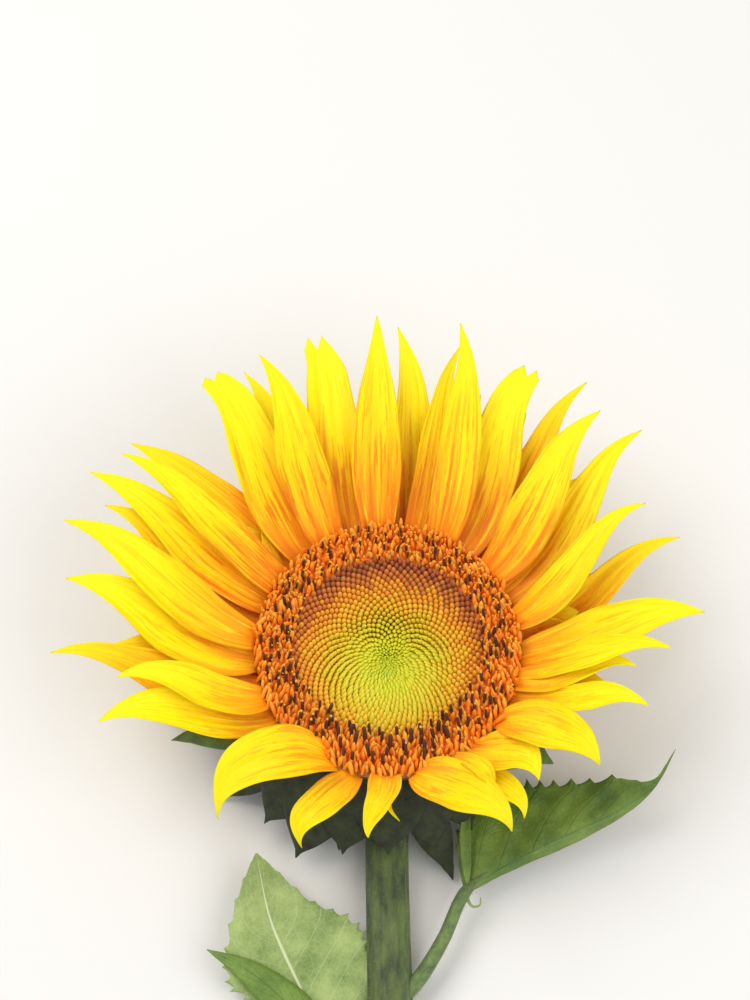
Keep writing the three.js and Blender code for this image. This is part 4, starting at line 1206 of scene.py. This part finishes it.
def open_florets(settings, rng, tree, shape):
    """Tubes in three shades of orange that fill the ring. Returns their places."""
    count = np.arange(settings.open_count) + 0.5
    area = (RING_OUTSIDE ** 2 - RING_INSIDE ** 2) * count / settings.open_count
    places = around_disc(np.sqrt(RING_INSIDE ** 2 + area), count * GOLDEN_ANGLE)
    inward = np.full(len(count), COROLLA_LEAN)
    axes = floret_axes(settings, places, COROLLA_LEAN_SPREAD, rng, (0, 0), inward)
    girth = rng.uniform(*COROLLA_GIRTHS, len(count))
    shade = rng.integers(0, len(COROLLA_COLOURS), len(count))
    for kind, (name, colour) in enumerate(COROLLA_COLOURS):
        chosen = shade == kind
        finish = floret_material(f"Corolla, {name.replace('_', ' ')}", colour)
        strew(f"corollas_{name}", places[chosen], axes[chosen], girth[chosen], tree, shape,
              COROLLA_SIZE, settings.seed, finish)
    return places


def anthers(settings, rng, tree, shapes):
    """Rows of dark anther tubes, stouter on the side by the stem, and a stigma on most of them."""
    feet, girths = [], []
    for radius, number, girth in ANTHER_ROWS:
        off_place = rng.uniform(-ANTHER_OFF_PLACE, ANTHER_OFF_PLACE, number)
        azimuth = (np.arange(number) + off_place) * 2 * np.pi / number
        azimuth = azimuth[rng.random(number) < ANTHERS_KEPT]
        near = (1 - np.sin(azimuth)) / 2
        off_row = rng.uniform(-ANTHER_OFF_ROW, ANTHER_OFF_ROW, len(azimuth))
        feet.append(around_disc(radius + off_row, azimuth))
        girths.append(girth * (ANTHER_FAR_GIRTH + ANTHER_GIRTH_GAIN * near))
    feet, girths = np.vstack(feet), np.concatenate(girths)
    axes = floret_axes(settings, feet, ANTHER_LEAN_SPREAD, rng, (0, 0), np.full(len(feet), ANTHER_LEAN))
    feet = feet + axes * ANTHERS_ABOVE_BED
    strew("anthers", feet, axes, girths, tree, shapes["post"], ANTHER_SIZE, settings.seed,
          floret_material("Anther tube", "#56281a", 0.6))
    tops = feet + axes * STIGMA_HEIGHT * girths[:, None]
    some = rng.random(len(tops)) < STIGMAS_KEPT
    strew("stigmas", tops[some], axes[some], girths[some], tree, shapes["knob"], STIGMA_SIZE,
          settings.seed, floret_material("Stigma with pollen", "#e8b84c", 0.7))


def pollen(settings, rng, tree, shape, places):
    """Grains of pollen on some of the open florets, except close to the stem."""
    dusted = (rng.random(len(places)) < POLLEN_KEPT) & (places[:, 1] > POLLEN_BEYOND)
    grains = places[dusted] + [0, 0, POLLEN_ABOVE_BED]
    strew("pollen", grains, np.tile([0, 0, 1.0], (len(grains), 1)), np.ones(len(grains)), tree, shape,
          POLLEN_SIZE, settings.seed + 1, floret_material("Pollen grains", "#f2b030", 0.75))


class SUNFLOWER_OT_disc(Operator):
    """Pack the disc with closed buds and a ring of open florets"""
    bl_idname = "sunflower.disc"
    bl_label = "Disc florets"

    def execute(self, context):
        settings = context.scene.sunflower_disc
        rng = np.random.default_rng(settings.seed)
        tree = floret_tree()
        shapes = {name: floret_shape(f"{name}_shape", *shape) for name, shape in FLORET_SHAPES.items()}
        floret_bed()
        closed_florets(settings, rng, tree, shapes)
        places = open_florets(settings, rng, tree, shapes["tube"])
        anthers(settings, rng, tree, shapes)
        pollen(settings, rng, tree, shapes["knob"], places)
        for shape in shapes.values():
            bpy.data.objects.remove(shape)
        return {"FINISHED"}


# Involucre

def bract_blade(bract, root_height, rng):
    """Points, faces and UV of a broad bract that narrows to a slender tip."""
    root, end, reach, tip, width, arrive = bract
    t, v = blade_grid(BRACT_STATIONS, BRACT_COLUMNS)
    rise = t[:, None]
    spine = head_spine(root, end, BRACT_ROOT_RADIUS, root_height, reach, tip, BRACT_LEAVE, arrive)
    places, tangents = along_bezier(spine, t)
    narrowing = np.cos(np.pi / 2 * np.clip((t - BRACT_WIDEST_AT) / (BRACT_TAIL_AT - BRACT_WIDEST_AT), 0, 1))
    half = np.where(t < BRACT_WIDEST_AT,
                    swell(t, BRACT_WIDEST_AT, BRACT_ROOT_HALF_WIDTH, width / 2, 0, 1),
                    (width / 2) * narrowing ** BRACT_SLENDER)
    tail = np.clip((1 - t) / (1 - BRACT_TAIL_AT) / BRACT_TAIL_HALF_WIDTH, 0, 1) * BRACT_TAIL_HALF_WIDTH
    half = np.maximum(half, tail + BRACT_TIP_HALF_WIDTH)[:, None]
    across = v * half * (1 + EDGE_WAVE * np.sin(BRACT_EDGE_RADIANS * rise + rng.uniform(0, 6)))
    wave = BRACT_WAVE * np.sin(2 * np.pi * BRACT_WAVES * rise + rng.uniform(0, 6)) * v * np.abs(v)
    rib = BRACT_RIB * np.exp(-(v / BRACT_RIB_WIDTH) ** 2)
    above = (rib - BRACT_ARCH * v * v) * (1 - rise) + wave
    depth = BRACT_THICKNESS * thinned(v, rise, BRACT_EDGE_THICKNESS, BRACT_TIP_THINNING)
    points, faces = blade_mesh(places, tangents, radial(root + 90), across, above,
                               np.zeros_like(across), depth)
    points[:, 2] = np.maximum(points[:, 2], ABOVE_FLOOR)
    return in_place(points), faces, blade_uv(t, v)


class SUNFLOWER_OT_involucre(Operator):
    """Build the green dish under the disc, its two whorls of bracts and the extra ones"""
    bl_idname = "sunflower.involucre"
    bl_label = "Involucre"

    def execute(self, context):
        settings = context.scene.sunflower_green
        rng = np.random.default_rng(settings.seed)
        # The bracts round the head and the back of the receptacle are painted near black, darker than their
        # own green, as painted shade under the head; the side bracts keep their own green
        felted_painted_shade = tissue_material("Bract, felted", "#161a10", "#39441f", 6, 0.72)
        fresh = tissue_material("Bract, fresh green", "#3f5a34", "#6c8a4a", 6, 0.66)
        dish = tissue_material("Receptacle back", "#242e22", "#3e4c33", 8, 0.66)
        rim = tissue_material("Rim under the florets", "#b8560e", "#f0901c", 3, 0.6)
        hair = floret_material("Bract hair", "#59664a", 0.75)
        tree = hair_tree()
        points, faces = turned_mesh(RECEPTACLE_PROFILE, RECEPTACLE_SEGMENTS)
        at_rim = [min(points[k][2] for k in face) > RIM_BAND for face in faces]
        dress(new_piece("receptacle", in_place(points), faces, (dish, rim), face_material=at_rim),
              "involucre", "involucre")
        whorls = (
            ("outer", OUTER_BRACTS, OUTER_ROOT_HEIGHT, felted_painted_shade),
            ("inner", INNER_BRACTS, INNER_ROOT_HEIGHT, felted_painted_shade),
            ("near", NEAR_BRACTS, NEAR_ROOT_HEIGHT, felted_painted_shade),
            ("side", SIDE_BRACTS, SIDE_ROOT_HEIGHT, fresh),
        )
        for whorl, bracts, root_height, finish in whorls:
            for index, bract in enumerate(bracts):
                name = f"bract_{whorl}_{index + 1:02d}"
                piece = blade_piece(name, bract_blade(bract, root_height, rng), finish, "involucre",
                                    "involucre")
                hairs_on(piece, f"{name}_hairs", "involucre", tree, hair, settings.seed + index,
                         **BRACT_HAIRS)
        return {"FINISHED"}


# Stem and petioles

def stem_radius(y, z):
    """The stem tapers towards the head and flares into the receptacle."""
    taper = np.clip((y - STEM_TAPER_START) / (STEM_TAPER_END - STEM_TAPER_START), 0, 1)
    flare = np.clip((z - NECK_FLARE_START) / (NECK_TOP - NECK_FLARE_START), 0, None)
    return STEM_CUT_RADIUS + (STEM_RADIUS - STEM_CUT_RADIUS) * taper + NECK_FLARE * flare ** 2


def stem_path():
    """Points along the middle of the stem: on the floor, round its bend and up into the head."""
    points = [(x, y, float(stem_radius(y, 0))) for x, y in STEM_SWAY]
    for i in range(STEM_BEND_STEPS + 1):
        angle = i / STEM_BEND_STEPS * math.pi / 2
        points.append((0, STEM_BEND_RADIUS * (math.sin(angle) - 1),
                       STEM_RADIUS + STEM_BEND_RADIUS * (1 - math.cos(angle))))
    points.append((0, 0, NECK_TOP))
    return points


class SUNFLOWER_OT_stem(Operator):
    """Build the ribbed, hairy stem and the two leaf stalks"""
    bl_idname = "sunflower.stem"
    bl_label = "Stem and petioles"

    def execute(self, context):
        settings = context.scene.sunflower_green
        skin = tissue_material("Stem skin", "#27321a", "#66793a", 4.5, 0.65, (1.0, 0.3, 1.0))
        pith = tissue_material("Cut pith", "#b9c08c", "#e6e6c4", 1.5, 0.7)
        hair = floret_material("Stem hair", "#9aa97c", 0.7)
        tree = hair_tree()
        t = np.linspace(0, 1, STEM_STEPS + 1)
        places, tangents = along_path(stem_path(), t)
        around = 2 * np.pi * np.arange(STEM_SIDES)[None, :] / STEM_SIDES
        base = stem_radius(places[:, 1], places[:, 2])[:, None]
        twist = STEM_RIB_TWIST * np.sin(3 * t[:, None])
        ribs = settings.rib_depth * (np.cos(STEM_RIBS * around + twist) - 1)
        points, faces = tube_mesh(places, tangents, np.array([1.0, 0, 0]), base + ribs)
        at_cut = np.zeros(len(faces), bool)
        at_cut[-2 * STEM_SIDES::2] = True
        stem = new_piece("stem_skin", in_place(points), faces, (skin, pith), face_material=at_cut)
        dress(stem, "stem", "stem")
        hairs_on(stem, "stem_hairs", "stem", tree, hair, settings.seed, STEM_HAIR_DENSITY,
                 settings.hair_length)
        stalk = tissue_material("Petiole skin", "#3f5428", "#748c48", 4, 0.6)
        for index, (name, petiole) in enumerate(PETIOLES.items()):
            t = np.linspace(0, 1, PETIOLE_STATIONS + 1)
            places, tangents = along_path(petiole["path"] + petiole["rib"], t)
            bare, covered = len(petiole["path"]) - 1, len(petiole["rib"])
            spans = t * (bare + covered)
            free = np.clip(spans / bare, 0, 1)
            under_leaf = np.clip((spans - bare) / covered, 0, 1)
            radius = petiole["foot"] + (petiole["tip"] - petiole["foot"]) * np.sqrt(free)
            radius = (radius * (1 - PETIOLE_END_THINNING * under_leaf))[:, None]
            around = 2 * np.pi * np.arange(PETIOLE_SIDES)[None, :] / PETIOLE_SIDES
            groove = PETIOLE_GROOVE * np.exp(-((around - math.pi / 2) / PETIOLE_GROOVE_WIDTH) ** 2)
            points, faces = tube_mesh(places, tangents, np.array([0, 0, 1.0]), radius * (1 - groove))
            piece = new_piece(f"{name}_skin", in_place(points), faces, (stalk,))
            dress(piece, petiole["slot"], name)
            hairs_on(piece, f"{name}_hairs", "stem", tree, hair,
                     settings.seed + PETIOLE_HAIR_SEED + index, **PETIOLE_HAIRS)
        return {"FINISHED"}


# Leaves

# The two sides of a leaf by their slots: name, dark, light, veins, how clearly net, side veins and
# midrib show, and roughness
LEAF_LOOKS = {
    "leaf": ("Leaf upper side", "#4c6a26", "#809c40", "#3f5822", (0.15, 0.3, 0.35), 0.5),
    "leaf_underside": ("Leaf underside", "#6c8640", "#a9bc70", "#d8e3b2", (0.12, 0.22, 0.8), 0.62),
}


def leaf_blade(leaf, rng):
    """Points, faces and UV of a toothed blade whose two halves turn and swell in their own way."""
    t, v = blade_grid(LEAF_STATIONS, LEAF_COLUMNS)
    rise = t[:, None]
    places, tangents = along_path(leaf["midrib"], t)
    chord = unit((places[-1] - places[0]) * (1, 1, 0))
    saw = (rise * leaf["teeth"] * (1 + TOOTH_UNEVENNESS * np.sin(5 * rise))) % 1.0
    at_edge = np.clip((np.abs(v) - 1 + TOOTH_DEPTH) / TOOTH_DEPTH, 0, 1)
    halves, turns = [], []
    for side in (leaf["near"], leaf["far"]):
        half = swell(t, side["widest_at"], LEAF_FOOT_HALF_WIDTH, side["half"], LEAF_TIP_HALF_WIDTH,
                     side["sharpness"], side["fullness"])[:, None]
        half = half * (1 - leaf["tail"] * np.clip((rise - LEAF_TAIL_AT) / LEAF_TAIL_BLEND, 0, 1))
        tooth = side["tooth"] * saw ** TOOTH_HOOK * at_edge
        halves.append(half * (1 + tooth * np.clip(rise * TOOTH_ONSET, 0, 1)))
        turns.append(math.radians(side["turn"]))
    width = v * np.where(v < 0, halves[0], halves[1])
    turn = np.where(v < 0, turns[0], turns[1])
    swept = (rise - VEIN_SWEEP * np.abs(v)) * 2 * VEIN_PAIRS
    off_vein = 1 - np.abs((swept % 2.0) - 1.0)
    quilt = LEAF_QUILT / 2 * np.cos(np.pi * off_vein) * np.clip(np.abs(v) * LEAF_QUILT_ONSET, 0, 1)
    channel = -leaf["channel"] * np.exp(-(v / LEAF_CHANNEL_WIDTH) ** 2)
    sway = LEAF_SWAY * np.sin(2 * np.pi * LEAF_SWAYS * rise + rng.uniform(0, 6)) * np.abs(v) ** 1.5
    across = width * np.cos(turn)
    relief = (quilt + channel + sway) * np.clip(halves[1] / FULL_RELIEF_HALF_WIDTH, 0, 1)
    above = width * np.sin(turn) + relief
    along = -np.abs(v) * leaf["lobe"] * (1 - rise) * np.minimum(1, rise / LEAF_LOBE_SHARE)
    depth = LEAF_THICKNESS + LEAF_RIB_DEPTH * (1 - rise) * np.exp(-(v / LEAF_RIB_WIDTH) ** 2)
    sideways = np.array([-chord[1], chord[0], 0.0])
    points, faces = blade_mesh(places, tangents, sideways, across, above, along, depth)
    return in_place(points), faces, blade_uv(t, v)


def strap(path, half, foot_half, widest_at, cup, uv_row=0):
    """A small closed blade along a path, such as a turned-over margin or a curled floret."""
    t, v = blade_grid(STRAP_STATIONS, STRAP_COLUMNS)
    places, tangents = along_path(path, t)
    chord = places[-1] - places[0]
    width = swell(t, widest_at, foot_half, half, STRAP_TIP_HALF_WIDTH, STRAP_SHARPNESS)[:, None]
    flat = np.zeros_like(v * width)
    points, faces = blade_mesh(places, tangents, np.array([-chord[1], chord[0], 0.0]), v * width,
                               cup * v * v * (width / half), flat, flat + STRAP_THICKNESS)
    return in_place(points), faces, blade_uv(t, v, uv_row)


class SUNFLOWER_OT_leaves(Operator):
    """Build the two toothed, veined leaf blades"""
    bl_idname = "sunflower.leaves"
    bl_label = "Leaves"

    def execute(self, context):
        rng = np.random.default_rng(context.scene.sunflower_green.seed)
        looks = {slot: leaf_material(*look) for slot, look in LEAF_LOOKS.items()}
        for name, leaf in LEAVES.items():
            slot = leaf["slot"]
            blade_piece(f"{name}_blade", leaf_blade(leaf, rng), looks[slot], slot, name)
        for name, (slot, *shape) in LEAF_FOLDS.items():
            blade_piece(name, strap(*shape), looks[slot], slot)
        return {"FINISHED"}


# Stage

def aim_at(thing, place, target):
    """Puts a light or the camera in the scene at a place, turned to face a target."""
    bpy.context.scene.collection.objects.link(thing)
    thing.location = Vector(place)
    thing.rotation_euler = (Vector(target) - Vector(place)).to_track_quat("-Z", "Y").to_euler()


def set_lights(key_power):
    """Soft light from all round, a key light from the far left and a fill light from the near right."""
    world = bpy.data.worlds.new("Soft studio")
    world.use_nodes = True
    background = world.node_tree.nodes["Background"]
    background.inputs["Color"].default_value = to_linear(WORLD_COLOUR)
    background.inputs["Strength"].default_value = WORLD_STRENGTH
    bpy.context.scene.world = world
    bloom = in_place((0, 0, FLORET_PLANE))
    lights = (
        ("key_light", KEY_PLACE, KEY_SIDE, key_power),
        ("fill_light", FILL_PLACE, FILL_SIDE, key_power * FILL_SHARE),
    )
    for name, place, side, power in lights:
        data = bpy.data.lights.new(name, "AREA")
        data.size = side
        data.energy = power
        aim_at(bpy.data.objects.new(name, data), bloom + np.array(place), bloom)


def set_camera():
    """The camera looks down on the bloom, from the side of the stem."""
    slope = math.radians(CAMERA_ELEVATION)
    aim = in_place((AIM_RIGHT, AIM_UP * math.sin(slope), FLORET_PLANE + AIM_UP * math.cos(slope)))
    away = np.array([0, -math.cos(slope), math.sin(slope)]) * CAMERA_DISTANCE * MM
    data = bpy.data.cameras.new("camera")
    data.sensor_fit = "VERTICAL"
    data.angle = 2 * math.atan(IMAGE_HEIGHT / 2 / FOCAL_PIXELS)
    data.clip_start = 0.01
    camera = bpy.data.objects.new("camera", data)
    aim_at(camera, aim + away, aim)
    bpy.context.scene.camera = camera


class SUNFLOWER_OT_stage(Operator):
    """Lay the pale floor and set the soft lights and the camera"""
    bl_idname = "sunflower.stage"
    bl_label = "Stage"

    def execute(self, context):
        settings = context.scene.sunflower_stage
        context.scene.view_settings.view_transform = "Standard"
        paint = new_material("Floor, matt paint", Roughness=0.9,
                             **{"Base Color": (*settings.floor_colour, 1.0)})[0]
        corners = [(x * FLOOR_HALF_SIDE, y * FLOOR_HALF_SIDE, 0)
                   for x, y in ((-1, -1), (1, -1), (1, 1), (-1, 1))]
        new_piece("floor", corners, [(0, 1, 2, 3)], (paint,), smooth=False)
        set_lights(settings.key_power)
        set_camera()
        return {"FINISHED"}


class SUNFLOWER_PT_panel(Panel):
    bl_label = "Cut sunflower"
    bl_space_type = "VIEW_3D"
    bl_region_type = "UI"
    bl_category = "Sunflower"

    def draw(self, context):
        groups = (
            (context.scene.sunflower_rays, ("sunflower.rays",)),
            (context.scene.sunflower_disc, ("sunflower.disc",)),
            (context.scene.sunflower_green, ("sunflower.involucre", "sunflower.stem", "sunflower.leaves")),
            (context.scene.sunflower_stage, ("sunflower.stage",)),
        )
        for settings, operators in groups:
            box = self.layout.box()
            for name in settings.bl_rna.properties.keys():
                if name not in ("rna_type", "name"):
                    box.prop(settings, name)
            for operator in operators:
                box.operator(operator)


CLASSES = (
    RaySettings, DiscSettings, GreenSettings, StageSettings,
    SUNFLOWER_OT_rays, SUNFLOWER_OT_disc, SUNFLOWER_OT_involucre, SUNFLOWER_OT_stem,
    SUNFLOWER_OT_leaves, SUNFLOWER_OT_stage, SUNFLOWER_PT_panel,
)
SETTINGS = {
    "sunflower_rays": RaySettings,
    "sunflower_disc": DiscSettings,
    "sunflower_green": GreenSettings,
    "sunflower_stage": StageSettings,
}


def register():
    for cls in CLASSES:
        bpy.utils.register_class(cls)
    for name, group in SETTINGS.items():
        setattr(bpy.types.Scene, name, PointerProperty(type=group))


def unregister():
    for name in SETTINGS:
        delattr(bpy.types.Scene, name)
    for cls in reversed(CLASSES):
        bpy.utils.unregister_class(cls)


def main():
    register()
    bpy.ops.sunflower.stage()
    bpy.ops.sunflower.rays()
    bpy.ops.sunflower.disc()
    bpy.ops.sunflower.involucre()
    bpy.ops.sunflower.stem()
    bpy.ops.sunflower.leaves()


if __name__ == "__main__":
    main()
